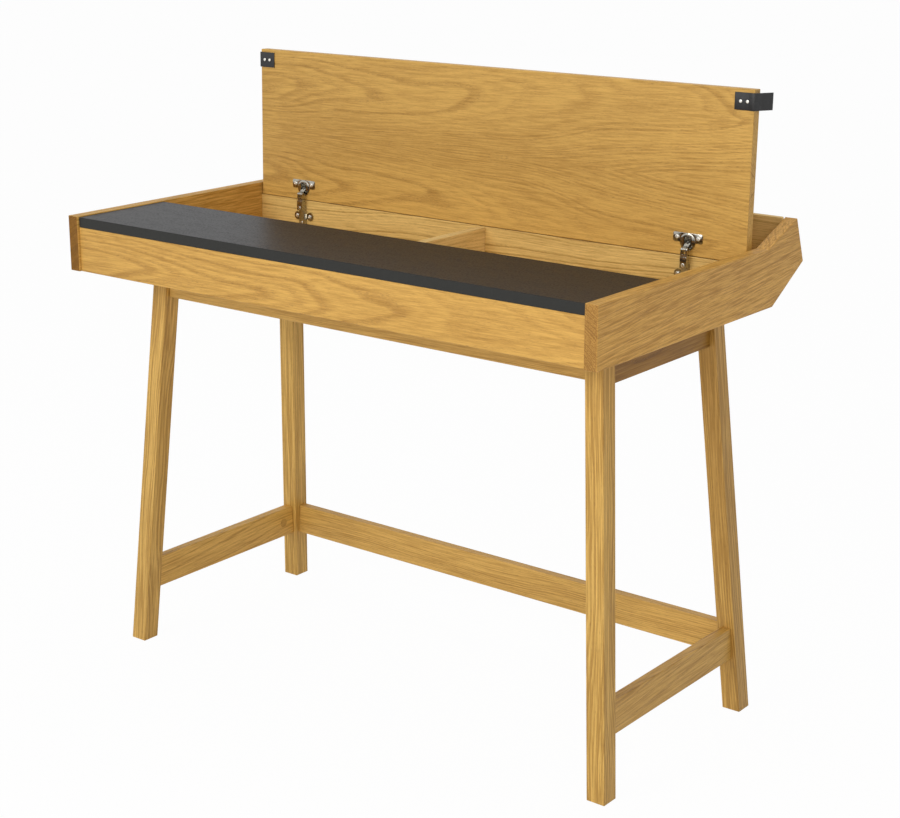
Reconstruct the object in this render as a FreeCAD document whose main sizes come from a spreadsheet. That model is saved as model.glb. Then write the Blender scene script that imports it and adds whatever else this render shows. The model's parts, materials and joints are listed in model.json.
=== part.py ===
"""Flap desk: an oak box with a lift-up flap, on a splayed underframe.

X runs along the desk's width and is zero at its middle, Y runs from the
front to the rear and is zero at mid-depth, and Z is zero on the floor.
The flap stands open, as the desk is drawn. Lengths are millimetres.
"""
import FreeCAD, Part
import os
import Sketcher

SIZES = (
    # Box
    ("desk_width", 1000, "width over the two side panels"),
    ("desk_depth", 553, "depth from the side panels' front edges to their tails"),
    ("top_height", 738, "floor to the side panels' flat top"),
    ("box_height", 88, "height of the side panels at the front"),
    ("panel_thick", 20, "side panel thickness"),
    ("peak_rise", 34, "peak of the side panel above its flat top"),
    ("peak_setback", 25, "peak in front of the tail"),
    ("slope_run", 85, "depth of the slope that climbs to the peak"),
    ("tail_drop", 34, "tail below the flat top"),
    ("heel_setback", 90, "heel of the side panel in front of the tail"),
    ("front_recess", 4, "front panel behind the side panels' front edges"),
    ("front_thick", 16, "front panel thickness"),
    ("floor_thick", 10, "box floor thickness"),
    ("wall_thick", 16, "hinge wall thickness"),
    ("trough_depth", 118, "hinge wall to the side panels' tails"),
    ("divider_thick", 16, "centre divider thickness"),
    ("ply_thick", 4, "rear plywood thickness"),
    ("ply_inset", 5.4, "plywood inside the side panels' rear edges"),
    ("ply_rise", 3, "upper plywood past the end of the rear edge"),
    ("ply_corner", 8.55, "upper plywood's lower end above the tail, along the rear edge"),
    ("ply_tail", 3.7, "lower plywood's rear end in front of the tail, along the lower edge"),
    ("ply_toe", 4.8, "lower plywood's front end behind the heel, along the lower edge"),
    ("arris", 1, "rounding of the oak edges"),
    # Desktop strip and the batten under its rear edge
    ("strip_depth", 181.5, "depth of the dark desktop strip"),
    ("strip_thick", 16, "thickness of the strip"),
    ("strip_drop", 1.5, "strip below the side panels' flat top"),
    ("batten_width", 20, "width of the batten that carries the strip and the shut flap"),
    ("batten_height", 18, "height of that batten"),
    ("batten_ledge", 5, "part of the batten under the shut flap"),
    ("batten_end_gap", 60, "batten's end to the side panel, clear of the pull tabs"),
    # Flap and its swing
    ("flap_thick", 16, "flap thickness"),
    ("flap_arris", 1.2, "rounding of the flap's edges"),
    ("flap_gap", 1, "shut flap behind the strip"),
    ("flap_overlay", 17, "shut flap over the hinge wall"),
    ("flap_side_gap", 3, "flap to each side panel"),
    ("flap_lean", 1.2, "open flap past upright, in degrees"),
    ("closed_gap", 4.6, "shut flap above the hinge wall"),
    ("open_gap", 2.5, "open flap above the hinge wall"),
    # Underframe
    ("leg_size", 30, "side of a leg's square section"),
    ("leg_side_splay", 48, "sideways spread of each foot"),
    ("front_splay", 42.5, "forward spread of a front foot"),
    ("rear_splay", 49, "rearward spread of a rear foot"),
    ("leg_side_inset", 67, "leg head to the box's side"),
    ("leg_front_inset", 117, "front leg head to the box's front"),
    ("leg_rear_inset", 116, "rear leg head to the box's tail"),
    ("rail_thick", 18, "top rail thickness"),
    ("rail_setback", 5, "rail behind the outer face of a leg's head"),
    ("front_rail_height", 53, "height of the front and rear rails"),
    ("side_rail_height", 61, "height of the side rails"),
    ("stretcher_low", 88, "floor to the stretchers"),
    ("stretcher_height", 52, "height of a stretcher"),
    ("stretcher_thick", 16, "thickness of a stretcher"),
    ("rear_stretcher_setback", 10, "rear stretcher behind the rear legs' front faces"),
    ("nut_setback", 25, "barrel nut to the end of its stretcher"),
    ("nut_dia", 12, "barrel nut diameter"),
    ("nut_length", 8, "barrel nut length"),
    ("plug_dia", 16, "diameter of the wooden plug over the nut"),
    ("plug_depth", 4, "depth of that plug"),
    ("bolt_dia", 6, "frame bolt diameter"),
    ("bolt_head_dia", 11, "frame bolt head diameter"),
    ("bolt_head_height", 5, "frame bolt head height"),
    ("bolt_sink", 8, "depth of the head's counterbore"),
    # Concealed hinges
    ("hinge_inset", 100, "hinge's middle to the side panel"),
    ("plate_width", 42, "width of the wing plate"),
    ("plate_height", 14, "height of the wing plate"),
    ("plate_thick", 2, "thickness of the wing plate"),
    ("plate_drop", 26, "wing plate's middle below the wall's top"),
    ("plate_screw_gap", 28, "distance between its two screws"),
    ("saddle_width", 10, "width of the saddle on the wing plate"),
    ("saddle_length", 34, "length of that saddle"),
    ("saddle_rise", 4, "height of that saddle"),
    ("arm_width", 11, "width of the hinge arm"),
    ("arm_tail", 48, "arm's tail below the wall's top"),
    ("arm_thick", 5, "thickness of the hinge arm"),
    ("arm_shoulder", 2, "arm's shoulder below the wall's top"),
    ("arm_reach", 8, "arm pin in front of the wall"),
    ("arm_rise", 12.5, "arm pin above the wall's top"),
    ("arm_pin_dia", 2.5, "arm pin diameter"),
    ("nose_width", 11, "width of the arm's nose"),
    ("nose_radius", 3.2, "radius of the arm's nose"),
    ("arm_screw_dia", 6, "diameter of the arm's set screws"),
    ("arm_screw_gap", 20, "distance between the arm's set screws"),
    ("arm_screw_proud", 0.6, "set screw in front of the arm"),
    ("cup_dia", 26, "hinge cup diameter"),
    ("cup_depth", 12.2, "hinge cup depth"),
    ("cup_wall", 0.8, "hinge cup wall"),
    ("cup_setback", 20.5, "cup's middle to the flap's hinge edge"),
    ("flange_width", 50, "width of the cup's flange"),
    ("flange_height", 14, "height of the cup's flange"),
    ("flange_thick", 1.2, "thickness of the cup's flange"),
    ("flange_offset", 6, "flange's middle past the cup's middle"),
    ("cup_screw_gap", 36, "distance between the flange's screws"),
    ("cup_pin_dia", 2, "cup pin diameter"),
    ("cup_pin_setback", 15, "cup pin to the flap's hinge edge"),
    ("cup_pin_depth", 2, "cup pin above the flap's underside"),
    ("link_width", 6, "width of the hinge link"),
    ("link_height", 6.4, "height of the hinge link"),
    ("link_play", 1.1, "play of the cup pin in the link's slot"),
    ("fit_clear", 0.05, "running clearance round a pin"),
    ("fork_clear", 0.4, "clearance beside a link in its fork"),
    ("screw_dia", 3, "wood screw diameter"),
    ("screw_length", 10, "wood screw length under its head"),
    ("screw_head_dia", 6.5, "wood screw head diameter"),
    ("screw_head_height", 1.8, "wood screw head height"),
    # Leather pull tabs
    ("tab_width", 25, "pull tab width"),
    ("tab_base", 31, "part of the tab that lies on the flap"),
    ("tab_end", 33, "free part of the tab"),
    ("tab_thick", 1.6, "leather thickness"),
    ("tab_edge", 5, "tab to the flap's free edge"),
    ("tab_flare", 68, "free part's turn to the rear, in degrees"),
    ("tab_clear", 0.3, "leather's clearance at its fold"),
    ("rivet_dia", 5, "rivet head diameter"),
    ("rivet_height", 1, "rivet head height"),
    ("rivet_shank_dia", 2.5, "rivet shank diameter"),
    ("rivet_depth", 6, "rivet shank in the flap"),
    ("rivet_gap", 11, "distance between a tab's two rivets"),
)

doc = FreeCAD.newDocument("flap_desk")
sheet = doc.addObject("Spreadsheet::Sheet", "sheet")
for row, (alias, size, meaning) in enumerate(SIZES, start=1):
    sheet.set(f"A{row}", meaning)
    sheet.set(f"B{row}", str(size))
    sheet.setAlias(f"B{row}", alias)
doc.recompute()

X_AXIS = FreeCAD.Vector(1, 0, 0)
Y_AXIS = FreeCAD.Vector(0, 1, 0)
ALONG = {
    "x": FreeCAD.Rotation(Y_AXIS, 90),
    "y": FreeCAD.Rotation(X_AXIS, -90),
    "z": FreeCAD.Rotation(),
    "-y": FreeCAD.Rotation(X_AXIS, 90),
    "-z": FreeCAD.Rotation(X_AXIS, 180),
}
SIDES = (("left", -1), ("right", 1))
SOLIDS_IN = {}

# Places in the box, worked out from the sheet
HALF = "(sheet.desk_width / 2)"
INNER = f"({HALF} - sheet.panel_thick)"
FRONT = "(-sheet.desk_depth / 2)"
REAR = "(sheet.desk_depth / 2)"
TOP = "sheet.top_height"
BASE = "(sheet.top_height - sheet.box_height)"
PEAK_Y = f"({REAR} - sheet.peak_setback)"
PEAK_Z = f"({TOP} + sheet.peak_rise)"
TAIL_Z = f"({TOP} - sheet.tail_drop)"
BREAK_Y = f"({PEAK_Y} - sheet.slope_run)"
HEEL_Y = f"({REAR} - sheet.heel_setback)"
FACE_Y = f"({FRONT} + sheet.front_recess)"
INSIDE_Y = f"({FACE_Y} + sheet.front_thick)"
FLOOR_Z = f"({BASE} + sheet.floor_thick)"
STRIP_LOW = f"({TOP} - sheet.strip_drop - sheet.strip_thick)"
STRIP_BACK = f"({FACE_Y} + sheet.strip_depth)"
BATTEN_BACK = f"({STRIP_BACK} + sheet.flap_gap + sheet.batten_ledge)"
BATTEN_FRONT = f"({BATTEN_BACK} - sheet.batten_width)"
BATTEN_LOW = f"({STRIP_LOW} - sheet.batten_height)"

# Places of the shut flap, and the axis that it swings about
WALL_FRONT = f"({REAR} - sheet.trough_depth - sheet.wall_thick)"
FLAP_FREE = f"({STRIP_BACK} + sheet.flap_gap)"
FLAP_HINGED = f"({WALL_FRONT} + sheet.flap_overlay)"
FLAP_HALF = f"({INNER} - sheet.flap_side_gap)"
WALL_TOP = f"({STRIP_LOW} - sheet.closed_gap)"
TURN = "(90 + sheet.flap_lean)"
HALF_TURN_TAN = f"tan({TURN} / 2)"
PIVOT_Y = (f"({FLAP_HINGED} - sheet.flap_overlay / 2"
           f" + (sheet.open_gap - sheet.closed_gap) / 2 / {HALF_TURN_TAN})")
PIVOT_Z = (f"({WALL_TOP} + (sheet.open_gap + sheet.closed_gap) / 2"
           f" + sheet.flap_overlay / 2 / {HALF_TURN_TAN})")

# The same places measured from that axis, with the flap shut
UNDER = f"({STRIP_LOW} - {PIVOT_Z})"
HINGED_EDGE = f"({FLAP_HINGED} - {PIVOT_Y})"
FREE_EDGE = f"({FLAP_FREE} - {PIVOT_Y})"
CUP_Y = f"({HINGED_EDGE} - sheet.cup_setback)"
FLANGE_Y = f"({CUP_Y} - sheet.flange_offset)"
CUP_PIN_Y = f"({HINGED_EDGE} - sheet.cup_pin_setback)"
CUP_PIN_Z = f"({UNDER} + sheet.cup_pin_depth)"
TAB_Y = f"({FREE_EDGE} + sheet.tab_edge)"

# Hinge arm pin, and the cup pin seen from it with the flap open, shut and halfway
ARM_PIN_Y = f"({WALL_FRONT} - sheet.arm_reach)"
ARM_PIN_Z = f"({WALL_TOP} + sheet.arm_rise)"


def cup_pin_from_arm(turn):
    """Cup pin from the arm pin, along Y and Z, with the flap opened by turn degrees."""
    away = f"({PIVOT_Y} + {CUP_PIN_Y} * cos({turn}) + {CUP_PIN_Z} * sin({turn}) - {ARM_PIN_Y})"
    rise = f"({PIVOT_Z} - {CUP_PIN_Y} * sin({turn}) + {CUP_PIN_Z} * cos({turn}) - {ARM_PIN_Z})"
    return away, rise


def span(turn):
    """Distance between the two pins with the flap opened by turn degrees."""
    away, rise = cup_pin_from_arm(turn)
    return f"sqrt(pow({away}; 2) + pow({rise}; 2))"


OPEN_AWAY, OPEN_RISE = cup_pin_from_arm(TURN)
LINK_ANGLE = f"atan2({OPEN_RISE}; {OPEN_AWAY})"
LINK_FAR = f"max({span(TURN)}; {span('0')})"
LINK_NEAR = span(f"({TURN} / 2)")

# Leg heads and feet
LEG_HEAD_X = f"({HALF} - sheet.leg_side_inset)"
LEG_FOOT_X = f"({LEG_HEAD_X} + sheet.leg_side_splay)"
FRONT_HEAD_Y = f"({FRONT} + sheet.leg_front_inset)"
REAR_HEAD_Y = f"({REAR} - sheet.leg_rear_inset)"
STRETCHER_TOP = "(sheet.stretcher_low + sheet.stretcher_height)"
STRETCHER_MID = "(sheet.stretcher_low + sheet.stretcher_height / 2)"


def leg_outer_x(height):
    return f"({LEG_HEAD_X} + sheet.leg_side_splay * (1 - {height} / {BASE}))"


def leg_inner_x(height):
    return f"({leg_outer_x(height)} - sheet.leg_size)"


def front_leg_back(height):
    return f"({FRONT_HEAD_Y} - sheet.front_splay * (1 - {height} / {BASE}) + sheet.leg_size)"


def rear_leg_front(height):
    return f"({REAR_HEAD_Y} + sheet.rear_splay * (1 - {height} / {BASE}) - sheet.leg_size)"


def number(text):
    """Present value of an expression on the sheet."""
    return float(sheet.evalExpression(text))


def bind(item, **expressions):
    for name, text in expressions.items():
        item.setExpression(name, text)


def place(item, x="0", y="0", z="0"):
    for axis, text in zip("xyz", (x, y, z)):
        item.setExpression(f".Placement.Base.{axis}", text)


def node(item, label, solids=1):
    """Name a finished sub-part and note how many separate solids it has."""
    item.Label = label
    SOLIDS_IN[item.Name] = solids
    return item


def hang_on_flap(item):
    """Put a piece that is drawn about the flap's axis where the open flap holds it."""
    item.Placement.Rotation = FreeCAD.Rotation(X_AXIS, -1)
    item.setExpression(".Placement.Rotation.Angle", f"-{TURN}")
    place(item, "0", PIVOT_Y, PIVOT_Z)


def new_body(name):
    return doc.addObject("PartDesign::Body", name)


def new_sketch(body, role, height=None):
    sketch = body.newObject("Sketcher::SketchObject", f"{body.Name}_sketch")
    base = next(item for item in body.Origin.OriginFeatures if item.Role == role)
    sketch.AttachmentSupport = (base, [""])
    sketch.MapMode = "FlatFace"
    if height:
        sketch.setExpression(".AttachmentOffset.Base.z", height)
    return sketch


def hold(sketch, geometry, point, x, y):
    """Tie a point of the sketch to its two driven distances from the origin."""
    for kind, text in (("DistanceX", x), ("DistanceY", y)):
        rule = Sketcher.Constraint(kind, -1, 1, geometry, point, number(text))
        index = sketch.addConstraint(rule)
        sketch.setExpression(f"Constraints[{index}]", text)


def outline(body, role, corners, height=None):
    """Closed outline with straight sides, one driven corner at each end."""
    sketch = new_sketch(body, role, height)
    spots = [FreeCAD.Vector(number(x), number(y), 0) for x, y in corners]
    count = len(spots)
    for index, spot in enumerate(spots):
        sketch.addGeometry(Part.LineSegment(spot, spots[(index + 1) % count]))
    for index, (x, y) in enumerate(corners):
        sketch.addConstraint(Sketcher.Constraint("Coincident", index, 2, (index + 1) % count, 1))
        hold(sketch, index, 1, x, y)
    return sketch


def rectangle(x0, y0, x1, y1):
    return ((x0, y0), (x1, y0), (x1, y1), (x0, y1))


def circles(body, role, spots, dia, height=None):
    """Equal circles, each with its driven middle."""
    sketch = new_sketch(body, role, height)
    radius = number(dia) / 2
    for index, (x, y) in enumerate(spots):
        middle = FreeCAD.Vector(number(x), number(y), 0)
        sketch.addGeometry(Part.Circle(middle, FreeCAD.Vector(0, 0, 1), radius))
        hold(sketch, index, 3, x, y)
        rule = sketch.addConstraint(Sketcher.Constraint("Diameter", index, 2 * radius))
        sketch.setExpression(f"Constraints[{rule}]", dia)
    return sketch


def pad(body, sketch, length, reverse=False, both_ways=False):
    feature = body.newObject("PartDesign::Pad", f"{body.Name}_pad")
    feature.Profile = sketch
    feature.Reversed = reverse
    if both_ways:
        feature.SideType = "Symmetric"
    bind(feature, Length=length)
    return feature


def pocket(body, sketch, depth, reverse=False, both_ways=False):
    """Cut into the body, and make sure that the cut removes material."""
    doc.recompute()
    before = body.Shape.Volume
    feature = body.newObject("PartDesign::Pocket", f"{body.Name}_pocket")
    feature.Profile = sketch
    feature.Reversed = reverse
    if both_ways:
        feature.SideType = "Symmetric"
    bind(feature, Length=depth)
    doc.recompute()
    if body.Shape.Volume >= before:
        raise ValueError(f"the cut in {body.Name} removes nothing")
    return feature


def ease(body, base, radius="sheet.arris"):
    """Round every edge of a board a little."""
    feature = body.newObject("PartDesign::Fillet", f"{body.Name}_arris")
    feature.Base = (base, [""])
    feature.UseAllEdges = True
    bind(feature, Radius=radius)


def board(name, x0, x1, y0, y1, z0, z1):
    """Rectangular oak board between two opposite corners."""
    body = new_body(name)
    sketch = outline(body, "XY_Plane", rectangle("0", "0", f"{x1} - {x0}", f"{y1} - {y0}"))
    ease(body, pad(body, sketch, f"{z1} - {z0}"))
    place(body, x0, y0, z0)
    return body


def side_profile(name, corners, thick, x):
    """Board whose outline lies in the YZ plane, starting at x."""
    body = new_body(name)
    ease(body, pad(body, outline(body, "YZ_Plane", corners), thick))
    place(body, x)
    return body


def front_profile(name, corners, thick, y):
    """Board whose outline lies in the XZ plane, starting at y."""
    body = new_body(name)
    ease(body, pad(body, outline(body, "XZ_Plane", corners), thick, reverse=True))
    place(body, "0", y)
    return body


def cylinder(name, dia, length, along, x, y, z):
    rod = doc.addObject("Part::Cylinder", name)
    bind(rod, Radius=f"({dia}) / 2", Height=length)
    rod.Placement.Rotation = ALONG[along]
    place(rod, x, y, z)
    return rod


def cone(name, near_dia, far_dia, length, along, x, y, z):
    taper = doc.addObject("Part::Cone", name)
    bind(taper, Radius1=f"({near_dia}) / 2", Radius2=f"({far_dia}) / 2", Height=length)
    taper.Placement.Rotation = ALONG[along]
    place(taper, x, y, z)
    return taper


def fused(name, pieces):
    whole = doc.addObject("Part::MultiFuse", name)
    whole.Shapes = pieces
    return whole


def drilled(name, base, drills):
    """The base with every drill taken out of it."""
    cut = doc.addObject("Part::Cut", name)
    cut.Base = base
    cut.Tool = fused(f"{name}_drills", drills) if len(drills) > 1 else drills[0]
    return cut


def group(name, pieces):
    """Like pieces that share one node as separate solids."""
    together = doc.addObject("Part::Compound", name)
    together.Links = pieces
    return node(together, name, len(pieces))


# Box
def side_panels():
    corners = (
        (FRONT, BASE),
        (FRONT, TOP),
        (BREAK_Y, TOP),
        (PEAK_Y, PEAK_Z),
        (REAR, TAIL_Z),
        (HEEL_Y, BASE),
    )
    for side, x in (("left", f"-{HALF}"), ("right", INNER)):
        node(side_profile(f"{side}_side_panel", corners, "sheet.panel_thick", x), f"{side}_side_panel")


def box_boards():
    left, right = f"(-{INNER})", INNER
    boards = (
        ("front_panel", FACE_Y, INSIDE_Y, BASE, STRIP_LOW),
        ("desktop_strip", FACE_Y, STRIP_BACK, STRIP_LOW, f"({STRIP_LOW} + sheet.strip_thick)"),
        ("box_floor", INSIDE_Y, HEEL_Y, BASE, FLOOR_Z),
    )
    for name, y0, y1, z0, z1 in boards:
        node(board(name, left, right, y0, y1, z0, z1), name)


def batten():
    end = f"({INNER} - sheet.batten_end_gap)"
    body = board("strip_batten", f"(-{end})", end, BATTEN_FRONT, BATTEN_BACK, BATTEN_LOW, STRIP_LOW)
    node(body, "strip_batten")


def divider():
    corners = (
        (INSIDE_Y, FLOOR_Z),
        (INSIDE_Y, STRIP_LOW),
        (BATTEN_FRONT, STRIP_LOW),
        (BATTEN_FRONT, BATTEN_LOW),
        (BATTEN_BACK, BATTEN_LOW),
        (BATTEN_BACK, WALL_TOP),
        (WALL_FRONT, WALL_TOP),
        (WALL_FRONT, FLOOR_Z),
    )
    x = "(-sheet.divider_thick / 2)"
    node(side_profile("centre_divider", corners, "sheet.divider_thick", x), "centre_divider")


def hinge_spots(gap):
    """Two places beside each hinge, half of gap to either side of it."""
    for side, sign in SIDES:
        for hand, step in SIDES:
            yield f"{side}_{hand}", f"({hinge_x(sign)} + {step} * {gap} / 2)"


def hinge_wall():
    y1 = f"({WALL_FRONT} + sheet.wall_thick)"
    blank = board("hinge_wall_blank", f"(-{INNER})", INNER, WALL_FRONT, y1, FLOOR_Z, WALL_TOP)
    drills = []
    for spot, x in hinge_spots("sheet.plate_screw_gap"):
        z = f"({WALL_TOP} - sheet.plate_drop)"
        drills.append(cylinder(f"wall_drill_{spot}", "sheet.screw_dia", "sheet.screw_length",
                               "y", x, WALL_FRONT, z))
    node(drilled("hinge_wall", blank, drills), "hinge_wall")


def rear_ply(name, start_y, start_z, run, rise, trim_low, trim_high):
    """Thin board parallel to a rear edge of the side panels, inside it."""
    body = new_body(name)
    length = f"sqrt(pow({run}; 2) + pow({rise}; 2))"
    corners = rectangle("0", "(-sheet.ply_inset - sheet.ply_thick)", f"2 * {INNER}", "(-sheet.ply_inset)")
    sketch = outline(body, "XY_Plane", corners, trim_low)
    pad(body, sketch, f"{length} - {trim_low} - {trim_high}")
    body.Placement.Rotation = FreeCAD.Rotation(X_AXIS, 1)
    body.setExpression(".Placement.Rotation.Angle", f"atan2(-({run}); {rise})")
    place(body, f"(-{INNER})", start_y, start_z)
    node(body, name)


def rear_boards():
    """Upper board that stands on the rear end of the lower one, so that the trough is closed."""
    rear_ply("rear_board", REAR, TAIL_Z, "(-sheet.peak_setback)",
             "(sheet.peak_rise + sheet.tail_drop)", "sheet.ply_corner", "(-sheet.ply_rise)")
    rear_ply("lower_rear_board", HEEL_Y, BASE, "sheet.heel_setback",
             "(sheet.box_height - sheet.tail_drop)", "sheet.ply_toe", "sheet.ply_tail")


# Underframe
def leg(name, side_sign, end_sign, head_y, splay):
    """Square leg drawn at the floor and leaning in both ways to its head."""
    body = new_body(name)
    width, depth = f"(-{side_sign} * sheet.leg_size)", f"(-{end_sign} * sheet.leg_size)"
    sketch = outline(body, "XY_Plane", rectangle("0", "0", width, depth))
    feature = pad(body, sketch, BASE)
    feature.UseCustomVector = True
    feature.AlongSketchNormal = True
    feature.Direction = FreeCAD.Vector(0, 0, 1)
    feature.setExpression("Direction.x", f"-{side_sign} * sheet.leg_side_splay / {BASE}")
    feature.setExpression("Direction.y", f"-{end_sign} * {splay} / {BASE}")
    ease(body, feature)
    place(body, f"{side_sign} * {LEG_FOOT_X}", f"{head_y} + {end_sign} * {splay}")
    return body


def bolt_x(side_sign):
    """Middle of a side stretcher's thickness."""
    return f"({side_sign} * ({leg_outer_x(STRETCHER_MID)} - sheet.leg_size / 2))"


BOLT_HEAD_Y = f"({rear_leg_front(STRETCHER_MID)} + sheet.leg_size - sheet.bolt_sink)"
NUT_Y = f"({rear_leg_front(STRETCHER_MID)} - sheet.nut_setback)"
BOLT_LENGTH = f"({BOLT_HEAD_Y} - {NUT_Y} + sheet.nut_dia / 2)"
BOLT_BORE = "(sheet.bolt_dia + 2 * sheet.fit_clear)"


def legs():
    for side, sign in SIDES:
        node(leg(f"{side}_front_leg", sign, -1, FRONT_HEAD_Y, "sheet.front_splay"), f"{side}_front_leg")
        blank = leg(f"{side}_rear_leg_blank", sign, 1, REAR_HEAD_Y, "sheet.rear_splay")
        sink = cylinder(f"{side}_leg_sink", "(sheet.bolt_head_dia + 2 * sheet.fit_clear)", "sheet.leg_size",
                        "y", bolt_x(sign), BOLT_HEAD_Y, STRETCHER_MID)
        bore = cylinder(f"{side}_leg_bore", BOLT_BORE, "sheet.leg_size * 2",
                        "-y", bolt_x(sign), BOLT_HEAD_Y, STRETCHER_MID)
        node(drilled(f"{side}_rear_leg", blank, [sink, bore]), f"{side}_rear_leg")


def between_sides(name, low, high, thick, y):
    """Cross member whose ends meet the inner faces of the left and right legs."""
    corners = (
        (f"-{leg_inner_x(low)}", low),
        (leg_inner_x(low), low),
        (leg_inner_x(high), high),
        (f"-{leg_inner_x(high)}", high),
    )
    node(front_profile(name, corners, thick, y), name)


def between_ends(name, low, high, thick, x):
    """Side member whose ends meet the front leg and the rear leg."""
    corners = (
        (front_leg_back(low), low),
        (rear_leg_front(low), low),
        (rear_leg_front(high), high),
        (front_leg_back(high), high),
    )
    return side_profile(name, corners, thick, x)


def rails():
    low = f"({BASE} - sheet.front_rail_height)"
    between_sides("front_rail", low, BASE, "sheet.rail_thick", f"({FRONT_HEAD_Y} + sheet.rail_setback)")
    between_sides("rear_rail", low, BASE, "sheet.rail_thick",
                  f"({REAR_HEAD_Y} - sheet.rail_setback - sheet.rail_thick)")
    low = f"({BASE} - sheet.side_rail_height)"
    outer = f"({LEG_HEAD_X} - sheet.rail_setback)"
    for side, x in (("left", f"-{outer}"), ("right", f"({outer} - sheet.rail_thick)")):
        node(between_ends(f"{side}_rail", low, BASE, "sheet.rail_thick", x), f"{side}_rail")


def from_face(face, sign, skip, length):
    """Lower end along X of a bore that starts skip inside an inner face."""
    return f"({face} + {sign} * {skip} + ({sign} - 1) / 2 * {length})"


def stretchers():
    low, high = "sheet.stretcher_low", STRETCHER_TOP
    y = f"({rear_leg_front(STRETCHER_MID)} + sheet.rear_stretcher_setback)"
    between_sides("rear_stretcher", low, high, "sheet.stretcher_thick", y)
    plugs, nuts, bolts = [], [], []
    for side, sign in SIDES:
        x = f"({bolt_x(sign)} - sheet.stretcher_thick / 2)"
        blank = between_ends(f"{side}_stretcher_blank", low, high, "sheet.stretcher_thick", x)
        face = f"({bolt_x(sign)} - {sign} * sheet.stretcher_thick / 2)"
        plug_start = from_face(face, sign, "0", "sheet.plug_depth")
        nut_start = from_face(face, sign, "sheet.plug_depth", "sheet.nut_length")
        bolt_line = ("-y", bolt_x(sign), BOLT_HEAD_Y, STRETCHER_MID)
        plug = cylinder(f"{side}_plug", "sheet.plug_dia", "sheet.plug_depth", "x",
                        plug_start, NUT_Y, STRETCHER_MID)
        nut = cylinder(f"{side}_nut_blank", "sheet.nut_dia", "sheet.nut_length", "x",
                       nut_start, NUT_Y, STRETCHER_MID)
        thread = cylinder(f"{side}_nut_thread", BOLT_BORE, BOLT_LENGTH, *bolt_line)
        shank = cylinder(f"{side}_bolt_shank", "sheet.bolt_dia", BOLT_LENGTH, *bolt_line)
        head = cylinder(f"{side}_bolt_head", "sheet.bolt_head_dia", "sheet.bolt_head_height",
                        "y", *bolt_line[1:])
        node(drilled(f"{side}_stretcher", blank, [plug, nut, thread]), f"{side}_stretcher")
        plugs.append(plug)
        nuts.append(drilled(f"{side}_nut", nut, [thread]))
        bolts.append(fused(f"{side}_bolt", [shank, head]))
    group("stretcher_plugs", plugs)
    group("barrel_nuts", nuts)
    group("stretcher_bolts", bolts)


# Hinges: the plate, arm and arm pin stay on the wall
PLATE_Z = f"({WALL_TOP} - sheet.plate_drop)"
SADDLE_FACE = f"({WALL_FRONT} - sheet.plate_thick - sheet.saddle_rise)"
ARM_FACE = f"({SADDLE_FACE} - sheet.arm_thick)"
NOSE_LOW = f"({PLATE_Z} + sheet.saddle_length / 2 + sheet.fork_clear)"
FORK_GAP = "(sheet.link_width + 2 * sheet.fork_clear)"
FORK_LOW = f"({ARM_PIN_Z} - sheet.link_height - sheet.fork_clear)"


def hinge_x(sign):
    return f"({sign} * ({INNER} - sheet.hinge_inset))"


def centred(width, height):
    """Rectangle about the origin of its sketch."""
    return rectangle(f"(-{width} / 2)", f"(-{height} / 2)", f"({width} / 2)", f"({height} / 2)")


def hinge_plates():
    for side, sign in SIDES:
        body = new_body(f"{side}_hinge_plate")
        wings = outline(body, "XZ_Plane", centred("sheet.plate_width", "sheet.plate_height"))
        pad(body, wings, "sheet.plate_thick")
        saddle = outline(body, "XZ_Plane", centred("sheet.saddle_width", "sheet.saddle_length"))
        pad(body, saddle, "sheet.plate_thick + sheet.saddle_rise")
        spots = [(f"({step} * sheet.plate_screw_gap / 2)", "0") for _, step in SIDES]
        holes = circles(body, "XZ_Plane", spots, "sheet.screw_dia")
        pocket(body, holes, "sheet.plate_thick", reverse=True)
        place(body, hinge_x(sign), WALL_FRONT, PLATE_Z)
        node(body, f"{side}_hinge_plate")


def hinge_arm(side, sign):
    """Arm with a forked nose that holds the arm pin."""
    body = new_body(f"{side}_hinge_arm")
    shoulder = f"({WALL_TOP} - sheet.arm_shoulder)"
    corners = rectangle(ARM_FACE, f"({WALL_TOP} - sheet.arm_tail)", SADDLE_FACE, shoulder)
    pad(body, outline(body, "YZ_Plane", corners), "sheet.arm_width", both_ways=True)
    near = f"({ARM_PIN_Y} - sheet.nose_radius)"
    far = f"({ARM_PIN_Y} + sheet.nose_radius)"
    nose = outline(body, "YZ_Plane", rectangle(near, NOSE_LOW, far, ARM_PIN_Z))
    pad(body, nose, "sheet.nose_width", both_ways=True)
    pin = ((ARM_PIN_Y, ARM_PIN_Z),)
    knuckle = circles(body, "YZ_Plane", pin, "(2 * sheet.nose_radius)")
    pad(body, knuckle, "sheet.nose_width", both_ways=True)
    beyond = f"({ARM_PIN_Z} + 2 * sheet.nose_radius)"
    fork = rectangle(f"({near} - sheet.nose_radius)", FORK_LOW, f"({far} + sheet.nose_radius)", beyond)
    pocket(body, outline(body, "YZ_Plane", fork), FORK_GAP, both_ways=True)
    bore = circles(body, "YZ_Plane", pin, "sheet.arm_pin_dia")
    pocket(body, bore, "sheet.nose_width", both_ways=True)
    spots = [("0", f"({PLATE_Z} + {step} * sheet.arm_screw_gap / 2)") for _, step in SIDES]
    holes = circles(body, "XZ_Plane", spots, "sheet.arm_screw_dia", f"(-{ARM_FACE})")
    pocket(body, holes, "sheet.arm_thick")
    place(body, hinge_x(sign))
    node(body, f"{side}_hinge_arm")


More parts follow.
